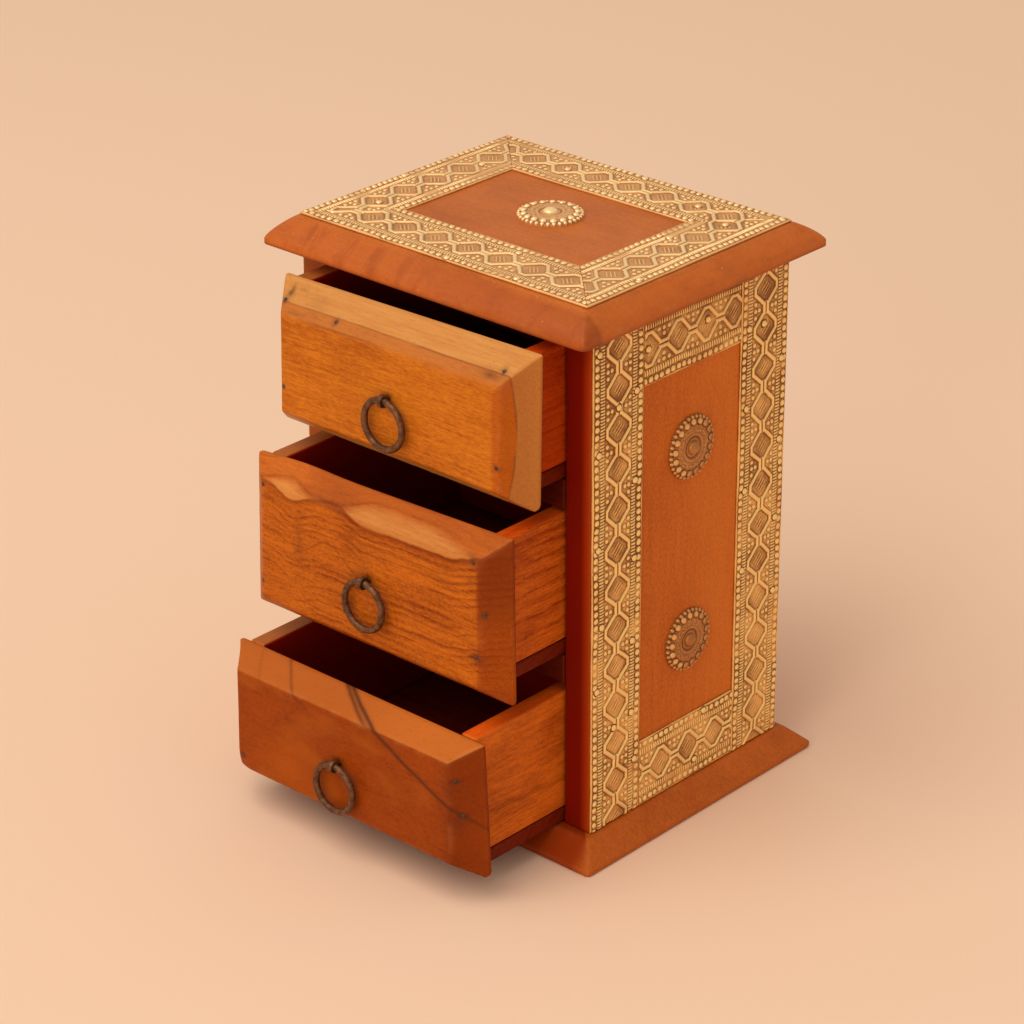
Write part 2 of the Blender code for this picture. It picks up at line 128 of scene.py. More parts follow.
class Shader:
    """Writes a material's nodes as short expressions; a Term is one value or colour on the way."""

    def __init__(self, name):
        self.material = bpy.data.materials.new(name)
        self.material.use_nodes = True
        self.tree = self.material.node_tree
        self.principled = self.tree.nodes["Principled BSDF"]
        self.object_coordinates = None

    def node(self, kind, inputs, **settings):
        made = self.tree.nodes.new(kind)
        for key, value in settings.items():
            setattr(made, key, value)
        for key, value in inputs.items():
            self.plug(made.inputs[key], value)
        return made

    def plug(self, socket, value):
        if isinstance(value, Term):
            self.tree.links.new(value.socket, socket)
        elif socket.type == "RGBA":
            socket.default_value = (*value, 1.0)
        else:
            socket.default_value = value

    def math(self, operation, *values):
        made = self.node("ShaderNodeMath", dict(enumerate(values)), operation=operation)
        return Term(self, made.outputs[0])

    def place(self):
        """Object coordinates in millimetres, as three Terms."""
        if self.object_coordinates is None:
            source = self.tree.nodes.new("ShaderNodeTexCoord").outputs["Object"]
            split = self.node("ShaderNodeSeparateXYZ", {0: Term(self, source)})
            self.object_coordinates = [Term(self, out) * (1 / MM) for out in split.outputs]
        return self.object_coordinates

    def attribute(self, name):
        return Term(self, self.node("ShaderNodeAttribute", {}, attribute_name=name).outputs["Fac"])

    def noise(self, x, y, z, detail=2.0, roughness=0.5):
        """Noise from 0 to 1 that changes over about one unit of x, y and z."""
        vector = self.node("ShaderNodeCombineXYZ", {0: x, 1: y, 2: z}).outputs[0]
        made = self.node("ShaderNodeTexNoise", {"Vector": Term(self, vector), "Scale": 1.0,
                                                "Detail": detail, "Roughness": roughness})
        return Term(self, made.outputs["Fac"])

    def ease(self, value, low, high):
        """0 below low, 1 above high, and smooth between."""
        made = self.node("ShaderNodeMapRange", {"Value": value, "From Min": low, "From Max": high},
                         interpolation_type="SMOOTHSTEP")
        return Term(self, made.outputs["Result"])

    def blend(self, factor, first, second, mode="MIX"):
        made = self.node("ShaderNodeMix", {}, data_type="RGBA", blend_type=mode)
        for index, value in ((0, factor), (6, first), (7, second)):
            self.plug(made.inputs[index], value)
        return Term(self, made.outputs[2])

    def upward(self):
        """How far the surface faces up, from -1 to 1."""
        normal = self.tree.nodes.new("ShaderNodeNewGeometry").outputs["Normal"]
        return Term(self, self.node("ShaderNodeSeparateXYZ", {0: Term(self, normal)}).outputs[2])

    def bump(self, height, distance, strength):
        made = self.node("ShaderNodeBump", {"Height": height, "Distance": distance, "Strength": strength})
        self.plug(self.principled.inputs["Normal"], Term(self, made.outputs["Normal"]))

    def surface(self, **inputs):
        for key, value in inputs.items():
            self.plug(self.principled.inputs[key.replace("_", " ").title().replace("Ior", "IOR")], value)


class Term:
    def __init__(self, shader, socket):
        self.shader, self.socket = shader, socket

    def __add__(self, other):
        return self.shader.math("ADD", self, other)

    def __radd__(self, other):
        return self.shader.math("ADD", other, self)

    def __sub__(self, other):
        return self.shader.math("SUBTRACT", self, other)

    def __rsub__(self, other):
        return self.shader.math("SUBTRACT", other, self)

    def __mul__(self, other):
        return self.shader.math("MULTIPLY", self, other)

    def __rmul__(self, other):
        return self.shader.math("MULTIPLY", other, self)

    def __truediv__(self, other):
        return self.shader.math("DIVIDE", self, other)

    def __pow__(self, other):
        return self.shader.math("POWER", self, other)

    def root(self):
        return self.shader.math("SQRT", self)

    def size(self):
        return self.shader.math("ABSOLUTE", self)

    def fraction(self):
        return self.shader.math("FRACT", self)

    def bell(self, width):
        """A smooth hump that is 1 where this is 0 and fades over the width."""
        return self.shader.math("EXPONENT", (self / width) * (self / width) * -1.0)


def wood(name, light, dark, grain, pith, spacing=3.0, rings=0.3, wander=1.5, fibre=0.35, dashes=0.3, pores=0.3,
         specks=0.3, mottle=0.25, roughness=0.45, polish=0.09, rise=None, finish=None, worn=False):
    """Polished wood, with growth rings round a pith that runs along the grain.

    rise gives the ring radius in place of the pith, and finish changes the colour by the wood's fields.
    worn pieces carry the attributes stain and wear.
    """
    s = Shader(name)
    x, y, z = s.place()
    along, first, second = {"X": (x, y, z), "Y": (y, x, z), "Z": (z, x, y)}[grain]
    if rise:
        radius = rise(s, x, y, z)
    else:
        off_first, off_second = first - pith[0], second - pith[1]
        radius = (off_first * off_first + off_second * off_second).root()
    bend = (s.noise(along / 34.0, first / 11.0, second / 11.0, 3.0) - 0.5) * (2 * wander)
    radius = radius + bend
    flow = second + bend
    turn = (radius / spacing).fraction()
    late = s.ease(turn, 0.3, 0.92) * (1.0 - s.ease(turn, 0.93, 1.0))
    late = late * s.ease(s.noise(along / 26.0, radius / (2.2 * spacing), first / 9.0), 0.36, 0.62)
    streaks = s.noise(along / 17.0, first * 1.1, flow * 1.1, 3.0, 0.6)
    threads = s.noise(along / 2.8, first * 3.2, flow * 3.2, 2.0, 0.55)
    pits = s.ease(s.noise(along / 2.4, first * 3.4, second * 3.6, 1.0), 0.62, 0.74)
    cloud = s.noise(along / 21.0, first / 13.0, second / 13.0, 2.0)
    grit = s.noise(along / 1.1, first / 0.75, second / 0.75, 2.0, 0.6)

    tone = late * rings + (streaks - 0.5) * (2 * fibre) + (threads - 0.5) * (2 * dashes)
    tone = tone + (cloud - 0.5) * (2 * mottle) + (grit - 0.5) * (2 * specks) + 0.36
    colour = s.blend(s.ease(tone, -0.1, 1.0), light, dark)
    if finish:
        colour = finish(SimpleNamespace(s=s, x=x, y=y, z=z, along=along, radius=radius, streaks=streaks,
                                        threads=threads, cloud=cloud, colour=colour, light=light, dark=dark))
    colour = s.blend(pits * pores, colour, tuple(c * 0.45 for c in dark))
    if worn:
        rubbed = s.attribute("wear") * s.ease(s.noise(x / 6.0, y / 6.0, z / 6.0, 3.0), 0.40, 0.65)
        colour = s.blend(rubbed * 0.07, colour, (0.72, 0.36, 0.15))
        colour = s.blend(s.attribute("stain"), colour, (0.045, 0.018, 0.012))
    s.surface(base_color=colour, roughness=roughness + (threads - 0.5) * 0.14, specular_ior_level=polish)
    s.bump(threads * 0.5 + streaks * 0.3 - pits * 0.6, 0.06 * MM, 0.5)
    return s.material


def closed_sheet(top, rings, body, nodes, name, slot, material, top_share=0.62, attributes=()):
    """A closed piece from a grid of top points, and rings of points that run down round its edge.

    The grid's second axis runs along a and its first along b, with a x b pointing out of the top.
    """
    rows, columns = top.shape[:2]
    index = np.arange(rows * columns).reshape(rows, columns)
    loop = np.concatenate((index[0, :-1], index[:-1, -1], index[-1, :0:-1], index[:0:-1, 0]))
    around = len(loop)
    points = np.concatenate([top.reshape(-1, 3)] + [ring for ring in rings])
    quads = [np.stack((index[:-1, :-1], index[:-1, 1:], index[1:, 1:], index[1:, :-1]), -1).reshape(-1, 4)]
    upper = loop
    for k in range(len(rings)):
        lower = rows * columns + k * around + np.arange(around)
        quads.append(np.stack((upper, lower, np.roll(lower, -1), np.roll(upper, -1)), -1))
        upper = lower
    quads = np.concatenate(quads)
    corners = np.concatenate((quads.ravel(), upper[::-1]))
    starts = np.append(np.arange(len(quads)) * 4, len(quads) * 4)

    across, up = np.meshgrid(np.linspace(0, 1, columns), np.linspace(0, 1, rows))
    flat = np.stack((across, up * top_share), -1).reshape(-1, 2)
    lap = np.linspace(0, 1, around, endpoint=False)
    side_count = len(rings) * around
    top_uv = flat[quads[:-side_count].ravel()]
    side_uv = np.empty((side_count, 4, 2))
    for k in range(len(rings)):
        part = side_uv[k * around:(k + 1) * around]
        high, low = 0.95 + 0.04 * k / len(rings), 0.95 + 0.04 * (k + 1) / len(rings)
        next_lap = lap + 1 / around
        part[:, 0] = np.stack((lap, np.full(around, high)), -1)
        part[:, 1] = np.stack((lap, np.full(around, low)), -1)
        part[:, 2] = np.stack((next_lap, np.full(around, low)), -1)
        part[:, 3] = np.stack((next_lap, np.full(around, high)), -1)
    under = flat[loop[::-1]] * (1, (0.92 - top_share) / top_share) + (0, top_share + 0.01)
    uv = np.concatenate((top_uv, side_uv.reshape(-1, 2), under))
    return finish_piece(name, points, corners, starts, uv, body, nodes, material, attributes)


def finish_piece(name, points, corners, starts, uv, body, nodes, material, attributes=()):
    mesh = bpy.data.meshes.new(name)
    mesh.vertices.add(len(points))
    mesh.vertices.foreach_set("co", (points * MM).astype(np.float32).ravel())
    mesh.loops.add(len(corners))
    mesh.loops.foreach_set("vertex_index", corners.astype(np.int32))
    mesh.polygons.add(len(starts))
    mesh.polygons.foreach_set("loop_start", starts.astype(np.int32))
    mesh.update(calc_edges=True)
    mesh.uv_layers.new(name=BAKE_MAP).uv.foreach_set("vector", uv.astype(np.float32).ravel())
    for label, values in attributes:
        padded = np.zeros(len(points), np.float32)
        padded[:values.size] = values.ravel()
        mesh.attributes.new(label, "FLOAT", "POINT").data.foreach_set("value", padded)
    mesh.materials.append(material)
    mesh.shade_smooth()
    mesh.set_sharp_from_angle(angle=radians(50))
    piece = bpy.data.objects.new(name, mesh)
    bpy.context.scene.collection.objects.link(piece)
    return declare(piece, body, nodes)


def declare(piece, body, nodes):
    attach(piece, body)
    if nodes:
        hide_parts(*nodes)
    return piece


def box_mm(node):
    low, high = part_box(node)
    return np.array(low) / MM, np.array(high) / MM


def placed(a, b, n, origin, axes):
    """Points from local coordinates, given the local axes' world directions."""
    a, b, n = np.broadcast_arrays(a, b, n)
    return np.asarray(origin) + a[..., None] * axes[0] + b[..., None] * axes[1] + n[..., None] * axes[2]


class WorkedBoard:
    """A hand-planed board with bevels: local a runs across it, b up it, and n out of its face."""

    def __init__(self, size, lip, bevels, powers=(1, 1, 1, 1), corners=((0, 0),) * 4, rounds=(1, 1, 1, 1),
                 crest=(0, 1, 0), soft=0.3, wobble=0.12, seed=1):
        self.width, self.height, self.thickness = size
        self.lip, self.bevels, self.powers = lip, bevels, powers
        self.corners, self.rounds, self.crest = corners, rounds, crest
        self.soft, self.wobble, self.seed = soft, wobble, seed
        self.dents = []

    def outline(self, u, v, inset=0.0):
        """Local places of shares u across and v up the tapered outline, with its corners rounded."""
        left, right = -self.width / 2, self.width / 2
        (bl, br, tr, tl) = self.corners
        x_left = left + bl[0] * (1 - v) + tl[0] * v + inset
        x_right = right + br[0] * (1 - v) + tr[0] * v - inset
        low, high = v * self.height, (1 - v) * self.height
        for is_left, radius, gap in ((True, self.rounds[0], low), (False, self.rounds[1], low),
                                     (False, self.rounds[2], high), (True, self.rounds[3], high)):
            reach = np.clip(radius - gap, 0, radius)
            cut = radius - np.sqrt(radius ** 2 - reach ** 2)
            if is_left:
                x_left = x_left + cut
            else:
                x_right = x_right - cut
        a = x_left + (x_right - x_left) * u
        b = (self.low_edge(a) + inset) * (1 - v) + (self.high_edge(a) - inset) * v
        return a, b

    def share(self, a):
        return np.clip(a / self.width + 0.5, 0, 1)

    def low_edge(self, a):
        t = self.share(a)
        return -self.height / 2 + self.corners[0][1] * (1 - t) + self.corners[1][1] * t

    def high_edge(self, a):
        t = self.share(a)
        place, reach, rise = self.crest
        swell = rise * np.exp(-((a - place) / reach) ** 2)
        return self.height / 2 + self.corners[3][1] * (1 - t) + self.corners[2][1] * t + swell

    def level(self, a, b):
        """Height of the worked face above the board's back."""
        v = np.clip((b + self.height / 2) / self.height, 0, 1)
        bl, br, tr, tl = self.corners
        gaps = (a + self.width / 2 - bl[0] * (1 - v) - tl[0] * v,
                self.width / 2 - a + br[0] * (1 - v) + tr[0] * v,
                b - self.low_edge(a), self.high_edge(a) - b)
        drop = self.thickness - self.lip
        total = np.ones(np.broadcast(a, b).shape)
        for gap, bevel, power in zip(gaps, self.bevels, self.powers):
            total = total + np.exp(drop * (1 - (np.maximum(gap, 0) / bevel) ** power) / self.soft)
        depth = self.soft * np.log(total)
        nearest = np.clip(np.minimum.reduce(gaps), 0, 0.6)
        depth = depth + 0.6 - np.sqrt(0.36 - (0.6 - nearest) ** 2)
        depth = depth + self.wobble * (soft_noise(a, b, 17, self.seed) + 0.4 * soft_noise(a, b, 5, self.seed + 1))
        for da, db, radius, deep in self.dents:
            depth = depth + deep * np.exp(-((a - da) ** 2 + (b - db) ** 2) / radius ** 2)
        return self.thickness - depth

    def build(self, origin, axes, back_round=0.5, **declared):
        u = stations(self.width, BOARD_STEP) / self.width
        v = stations(self.height, BOARD_STEP) / self.height
        u, v = np.meshgrid(u, v)
        a, b = self.outline(u, v)
        n = self.level(a, b)
        rings = []
        for inset, height in ((0.0, back_round), (0.3 * back_round, 0.3 * back_round), (back_round, 0.0)):
            ra, rb = self.outline(u, v, inset)
            ring = placed(ra, rb, np.full_like(ra, height), origin, axes)
            rings.append(np.concatenate((ring[0, :-1], ring[:-1, -1], ring[-1, :0:-1], ring[:0:-1, 0])))
        stain = np.zeros_like(a)
        for da, db, wide, tall, strength in declared.pop("stains", ()):
            ragged = 1 + 0.35 * soft_noise(a, b, 0.9, 7)
            spot = (((a - da) / wide) ** 2 + ((b - db) / tall) ** 2) / ragged ** 2
            stain = np.maximum(stain, strength * np.exp(-spot))
        wear = np.clip((n - blurred(n, 2)) / 0.2, 0, 1)
        wear[[0, -1]] = 0
        wear[:, [0, -1]] = 0
        attributes = (("stain", stain), ("wear", wear))
        return closed_sheet(placed(a, b, n, origin, axes), rings, attributes=attributes, **declared)


X, Y, Z = np.eye(3)

# Inner faces of the carcass and drawers: a dark stain with painted shade over it, where the insides lie in shadow.
INSIDE_STAIN_AND_PAINTED_SHADE = (0.28, 0.0075, 0.0014)


def panel_finish(f):
    """Side panels: painted shade on the front edges, deep red beside the drawers, and inner faces in the dark stain
    with painted shade.
    """
    # Painted shade: both front edges darkened, the right-hand one to deep red where the drawers shade it, a little
    # less at its outer corner.
    front = f.s.ease(f.y, -43.9, -44.4)
    edge = f.s.blend(f.s.ease(f.x, -10.0, 10.0), (0.34, 0.075, 0.011), (0.18, 0.005, 0.0003))
    edge = f.s.blend(f.s.ease(f.x, 53.0, 57.0) * 0.6, edge, (0.50, 0.055, 0.003))
    # Painted shade over the dark stain on the inner faces.
    inside = f.s.ease(f.x.size(), 47.9, 47.55) * f.s.ease(f.y, 44.3, 43.9)
    colour = f.s.blend(f.s.ease(f.y, -20.0, 30.0) * 0.35, f.colour, (0.86, 0.24, 0.035))
    colour = f.s.blend(front, colour, edge)
    return f.s.blend(inside * (1.0 - front), colour, INSIDE_STAIN_AND_PAINTED_SHADE)


def box_finish(f):
    """Drawer boxes: the lowest one paler with painted light, inner faces in the dark stain with painted shade,
    painted shade on the top edges on the left and painted light on those on the right.
    """
    top = f.s.ease(f.s.upward(), 0.6, 0.9)
    wave = (f.s.noise(f.x / 9.0, f.y / 9.0, f.z / 9.0) - 0.5) * 7.0
    vein = (f.z - 25.0 + (f.y + 63.0) * 0.08 + wave).bell(1.1) + (f.z - 31.0 + f.y * 0.05 + wave).bell(0.6) * 0.4
    # Painted light: the lowest box, least shaded by the boards above, made paler.
    colour = f.s.blend(f.s.ease(f.z, 58.0, 56.0) * 0.14, f.colour, (0.95, 0.27, 0.02))
    colour = f.s.blend(vein * f.s.ease(f.x, 44.0, 46.0) * 0.36, colour, (0.14, 0.022, 0.002))
    # Painted shade: upward top edges on the left darkened, where the drawer above shades them.
    colour = f.s.blend(top * f.s.ease(f.x, -39.0, -41.0) * 0.75, colour, (0.36, 0.115, 0.026))
    # Painted light: upward top edges on the right made a brighter red-orange, as if lit from above.
    colour = f.s.blend(top * f.s.ease(f.x, 39.0, 41.0) * 0.5, colour, (0.90, 0.080, 0.004))
    # Painted shade over the dark stain on the inner faces.
    return f.s.blend(f.s.ease(f.x.size(), 41.2, 40.8), colour, INSIDE_STAIN_AND_PAINTED_SHADE)


def base_finish(f):
    """Base board: orange-brown, but painted shade of the drawers turns the front bevel deep red, and its top under
    the lowest drawer has the dark stain with painted shade.
    """
    low, high = box_mm("base_board")
    from_front, from_side = f.y - low[1], high[0] - f.x.size()
    # Painted shade: the front bevel darkened where the drawers shade it.
    front = f.s.ease(from_front - from_side, 0.5, -0.5) * f.s.ease(f.x.size(), high[0] - 1.0, high[0] - 8.0)
    f.colour = f.s.blend(front * 0.9, f.colour, (0.28, 0.027, 0.0008))
    # Painted shade over the dark stain on the top under the lowest drawer.
    inside = f.s.ease(f.x.size(), 47.6, 47.2) * f.s.ease(f.y.size(), 44.4, 44.0) * f.s.ease(f.z, 7.6, 7.9)
    return f.s.blend(inside, f.colour, INSIDE_STAIN_AND_PAINTED_SHADE)


def top_finish(f):
    """Redder bevels with grime, and painted shade just below the brass and along the board's lower edge; small pale
    flecks where the polish has worn, with painted glints.
    """
    s = f.s
    low, high = box_mm("top_board")
    bevel = s.ease(f.z, 177.2, 175.8)
    front = s.ease(f.y, low[1] + 9.0, low[1] + 7.0) * bevel
    right = s.ease(f.x, high[0] - 6.4, high[0] - 5.4) * bevel * (1.0 - front)
    colour = s.blend(bevel * 0.55, f.colour, (0.53, 0.106, 0.008))
    grime = s.ease(s.noise(f.x / 8.0, f.y / 8.0, f.z / 3.0, 4.0, 0.6), 0.42, 0.75) * bevel
    colour = s.blend(grime * 0.3, colour, (0.24, 0.042, 0.006))
    grit = s.ease(s.noise(f.x / 1.3, f.y / 1.3, f.z / 1.3, 4.0, 0.65), 0.52, 0.70) * bevel
    colour = s.blend(grit * 0.22, colour, (0.22, 0.040, 0.006))
    flame = s.ease(s.noise(f.x / 5.0, f.y / 30.0, f.z / 30.0, 3.0, 0.6), 0.48, 0.66) * front
    colour = s.blend(flame * (s.ease(f.x, 10.0, -40.0) * 0.25 + 0.2), colour, (0.27, 0.044, 0.003))
    # Painted shade: a band just under the brass strips, and the board's lower edge under its overhang.
    under = s.ease(f.z, 176.3, 177.0) * bevel
    colour = s.blend(under * 0.3 + s.ease(f.z, low[2] + 1.3, low[2] + 0.5) * 0.5, colour, (0.22, 0.036, 0.004))
    colour = s.blend(front * (s.ease(f.x, -40.0, 60.0) * 0.38 + 0.06), colour, (0.24, 0.036, 0.002))
    colour = s.blend(right * 0.15, colour, (0.74, 0.190, 0.026))
    # Pale flecks: worn spots in the polish, with painted glints of its sheen.
    flecks = s.ease(s.noise(f.x / 1.5, f.y / 1.5, f.z / 1.5, 3.0, 0.6), 0.69, 0.75)
    return s.blend(flecks * 0.4, colour, (0.80, 0.38, 0.16))


PANEL_WOOD = wood("panel_wood", (0.65, 0.155, 0.017), (0.44, 0.087, 0.0085), "Z", (20.0, -140.0), 5.0,
                  rings=0.12, wander=3.0, fibre=0.3, dashes=0.2, pores=0.12, specks=0.85, mottle=0.3,
                  finish=panel_finish)
TOP_WOOD = wood("top_wood", (0.59, 0.145, 0.0155), (0.37, 0.077, 0.007), "X", (-70.0, 60.0), 5.0,
                rings=0.10, wander=3.0, fibre=0.2, dashes=0.1, pores=0.12, specks=0.4, mottle=0.36, polish=0.22,
                finish=top_finish, worn=True)
BASE_WOOD = wood("base_wood", (0.57, 0.124, 0.0105), (0.33, 0.060, 0.0040), "X", (60.0, -80.0), 6.0,
                 rings=0.10, wander=3.0, fibre=0.34, dashes=0.25, pores=0.2, mottle=0.36, polish=0.15,
                 finish=base_finish, worn=True)
# Dividers, near-black red: painted shade, as their fronts lie back between the drawers.
DIVIDER_PAINTED_SHADE_WOOD = wood("divider_wood", (0.13, 0.010, 0.0015), (0.06, 0.004, 0.001), "X", (30.0, 300.0), 3.0,
                    rings=0.2, fibre=0.3)
BOX_WOOD = wood("drawer_box_wood", (0.74, 0.152, 0.010), (0.31, 0.036, 0.0025), "Y", (90.0, 40.0), 3.4,
                rings=0.35, wander=2.5, fibre=0.5, dashes=0.4, pores=0.4, mottle=0.4, finish=box_finish)
# A darker, redder copy of the box wood for the upper drawer: painted shade under the top board.
UPPER_BOX_PAINTED_SHADE_WOOD = wood("upper_drawer_box_painted_shade_wood", (0.62, 0.070, 0.002), (0.30, 0.022, 0.001), "Y", (90.0, 40.0), 3.4,
                      rings=0.25, wander=2.5, fibre=0.4, dashes=0.4, pores=0.4, mottle=0.3, finish=box_finish)
# Drawer bottoms, dark red: a dark stain with painted shade, as they lie inside the drawers.
BOTTOM_STAIN_AND_PAINTED_SHADE_WOOD = wood("drawer_bottom_wood", (0.22, 0.018, 0.0015), (0.10, 0.007, 0.0006), "X", (0.0, -60.0), 3.0,
                   rings=0.25, fibre=0.4, roughness=0.5)


def dark_back(f, back):
    """The side of a front that faces into its drawer: the dark stain with painted shade."""
    return f.s.blend(f.s.ease(f.y, back - 0.5, back - 0.2), f.colour, INSIDE_STAIN_AND_PAINTED_SHADE)


def past_mitre(f, label):
    """How far a place on a front lies on its right-hand bevel and not on its upper one."""
    low, high = box_mm(label + "_drawer_front")
    shape = FRONT_SHAPES[label]
    corner = shape["corners"][2]
    from_right = (high[0] + corner[0] - f.x) / shape["bevels"][1]
    from_top = (high[2] + corner[1] - f.z) / shape["bevels"][3]
    return f.s.ease(from_right - from_top, 0.06, -0.06)


def upper_finish(f):
    """Pale sapwood round the edges, parted by a thin dark line from a pinkish band along the face."""
    s = f.s
    beyond = f.radius - 117.0
    above = s.ease(f.z, 150.0, 156.0)
    right = s.ease(f.x, 39.5, 41.5) * past_mitre(f, "upper")
    pale = s.blend(s.ease(f.streaks, 0.3, 0.75), (0.61, 0.262, 0.066), (0.54, 0.205, 0.048))
    pale = s.blend(right * (f.threads * 0.7 + 0.3), pale, (0.36, 0.096, 0.012))
    colour = s.blend(s.ease(beyond, -3.3, -2.4) * above * 0.7, f.colour, (0.47, 0.150, 0.034))
    colour = s.blend(right * (f.threads * 0.7 + 0.3), colour, (0.40, 0.068, 0.003))
    colour = s.blend(s.ease(beyond, -0.25, 0.35), colour, pale)
    line = beyond.bell(0.22) * s.ease(f.cloud, 0.25, 0.6)
    crack = (beyond + 2.9).bell(0.16) * above * s.ease(f.x, 2.0, -8.0) * s.ease(f.x, -38.0, -28.0)
    return s.blend(line * 0.6 + crack * 0.5, colour, (0.16, 0.040, 0.018))


def middle_bands(s, x, y, z):
    """Distances below the lower edge and above the upper edge of the middle front's pale figure."""
    high = box_mm("middle_drawer_front")[1]
    wave = (s.noise(x / 6.0, y / 6.0, z / 6.0) - 0.5) * 1.2
    off = z - (x * 0.0325 + high[2] - 5.9) + wave
    dip = s.ease(x, -12.5, -1.0) * s.ease(x, 48.0, 31.0) * 3.6
    rise = s.ease(x, -14.0, 2.0) * s.ease(x, 46.0, 22.0) * 3.4
    lower = 0.8 - (x + 31.0).bell(6.0) * 3.2 - dip
    upper = (x + 34.0).bell(8.5) * 2.8 + rise + 0.9
    return lower - off, off - upper


def middle_rise(s, x, y, z):
    """Growth rings that run along the edges of the pale figure."""
    below, above = middle_bands(s, x, y, z)
    return 40.0 - s.math("MAXIMUM", below, above) * 0.34


def middle_finish(f):
    """A pale figure along the upper arris, sharp below and soft above, and a plain dark right-hand bevel."""
    s = f.s
    below, above = middle_bands(s, f.x, f.y, f.z)
    pale = s.blend(s.ease(f.streaks, 0.3, 0.75), (0.61, 0.245, 0.060), (0.54, 0.180, 0.034))
    pale = s.blend(s.ease(f.x, -16.0, -24.0) * 0.6, pale, (0.74, 0.300, 0.075))
    # Painted light and sheen: the upward top bevel made paler.
    colour = s.blend(s.ease(f.z, 104.5, 108.5) * 0.5, f.colour, (0.60, 0.148, 0.021))
    brown = s.ease(f.x, -31.0, -24.0) * 0.35 + (f.x + 15.0).bell(8.0) * 0.12
    colour = s.blend(s.ease(f.z, 103.5, 106.5) * brown, colour, (0.26, 0.044, 0.004))
    colour = s.blend(s.ease(f.z, 67.5, 62.0) * s.ease(f.x, -38.0, -12.0) * 0.55, colour, (0.24, 0.026, 0.0008))
    inside = s.ease(below, 0.1, -0.9) * s.ease(above, 0.2, -2.6)
    colour = s.blend(inside * 0.78, colour, pale)
    rightward = s.ease(f.x, -16.0, -4.0)
    shadow = s.ease(below, 2.6, 0.4) * s.ease(below, -0.5, 0.4) * (rightward * 0.6 + 0.4)
    colour = s.blend(shadow * 0.55, colour, (0.22, 0.027, 0.0012))
    arch = f.z - 85.5 - (f.x + 16.5).bell(8.5) * 7.6 + (f.cloud - 0.5) * 3.0
    arch = arch.bell(0.45) * s.ease(f.x, -33.0, -28.0) * s.ease(f.x, 16.0, 2.0)
    repeats = ((below - 3.4).bell(0.3) + (below - 5.4).bell(0.36) + (below - 7.8).bell(0.4)) * rightward
    line = below.bell(0.45) * 0.42 + above.bell(0.4) * s.ease(f.x, 30.0, 0.0) * 0.28
    line = line + arch * 0.36 + repeats * 0.36
    colour = s.blend(line, colour, (0.13, 0.024, 0.006))
    right = s.ease(f.x, 42.5, 44.5) * past_mitre(f, "middle")
    colour = s.blend(right * (f.threads * 0.6 + 0.4), colour, (0.27, 0.037, 0.0009))
    return s.blend(right * s.ease(f.z, 80.0, 96.0) * 0.5, colour, (0.15, 0.017, 0.0003))


def lower_finish(f):
    """Dark veins that cross the lower front's upper bevel, the strongest of which runs on down its face."""
    s = f.s
    low, high = box_mm("lower_drawer_front")
    fall = high[2] - 5.85 - f.z
    back = f.y - low[1]
    wave = (s.noise(f.x / 9.0, f.y / 9.0, f.z / 9.0) - 0.5) * 1.6
    centre = 15.3 + fall * 1.79 + fall * fall * 0.02 - back * (s.ease(f.x, 40.0, 46.0) * 0.47 + 0.93)
    away = (f.x - centre + wave) * 0.5
    on_bevel = s.ease(fall, 0.1, -0.35) * (1.0 - past_mitre(f, "lower"))
    long_vein = away.bell(0.85 - on_bevel * 0.15) * (0.80 - s.ease(fall, 8.0, 22.0) * 0.3)
    short_vein = (away + 2.1 - back * 0.09).bell(0.62) * on_bevel * 0.6 + (away + 1.1).bell(1.1) * on_bevel * 0.16
    left_vein = ((f.x + 18.6 - fall * 1.75 + wave) * 0.6).bell(0.5) * s.ease(fall, 6.0, 0.0) * 0.42
    end_vein = ((f.x + 33.0 - fall * 1.2 + wave) * 0.6).bell(0.5) * on_bevel * 0.12
    veins = s.math("MINIMUM", long_vein + short_vein + left_vein + end_vein, 1.0)
    glow = s.ease(f.cloud, 0.46, 0.68) * s.ease(f.x, 42.0, 34.0)
    colour = s.blend(glow * 0.5, f.colour, (0.44, 0.092, 0.004))
    patch = (f.x + 22.0).bell(13.0) * (f.z - 21.0).bell(10.0)
    colour = s.blend(patch * 0.45, colour, (0.47, 0.095, 0.003))
    colour = s.blend(s.ease(f.x, 41.0, 44.0) * 0.5, colour, (0.21, 0.028, 0.0008))
    # Painted light and sheen: the upward top bevel made much paler than the face.
    bevel = s.blend(s.ease(f.x, -5.0, 30.0), (0.48, 0.118, 0.015), (0.58, 0.150, 0.019))
    colour = s.blend(on_bevel * 0.8, colour, bevel)
    return s.blend(veins, colour, (0.070, 0.019, 0.006))


def front_material(label):
    low, high = box_mm(label + "_drawer_front")
    face, middle, back = low[1], (low[2] + high[2]) / 2, high[1]
    if label == "upper":
        return wood("upper_front_wood", (0.64, 0.186, 0.011), (0.35, 0.071, 0.0027), "X",
                    (face - 113.0, middle), 1.9, rings=0.12, wander=0.35, fibre=0.48, dashes=0.6, pores=0.28,
                    mottle=0.3, finish=lambda f: dark_back(with_colour(f, upper_finish(f)), back), worn=True)
    if label == "middle":
        return wood("middle_front_wood", (0.61, 0.146, 0.0070), (0.21, 0.031, 0.0014), "X", None, 0.8,
                    rings=0.28, wander=0.8, fibre=0.42, dashes=0.30, pores=0.30, specks=0.34, mottle=0.36, rise=middle_rise,
                    finish=lambda f: dark_back(with_colour(f, middle_finish(f)), back), worn=True)
    return wood("lower_front_wood", (0.330, 0.052, 0.0009), (0.165, 0.0215, 0.0005), "X",
                (face + 90.0, middle + 30.0), 6.0, rings=0.10, wander=3.0, fibre=0.26, dashes=0.22, pores=0.2,
                specks=0.42, mottle=0.5, finish=lambda f: dark_back(with_colour(f, lower_finish(f)), back), worn=True)


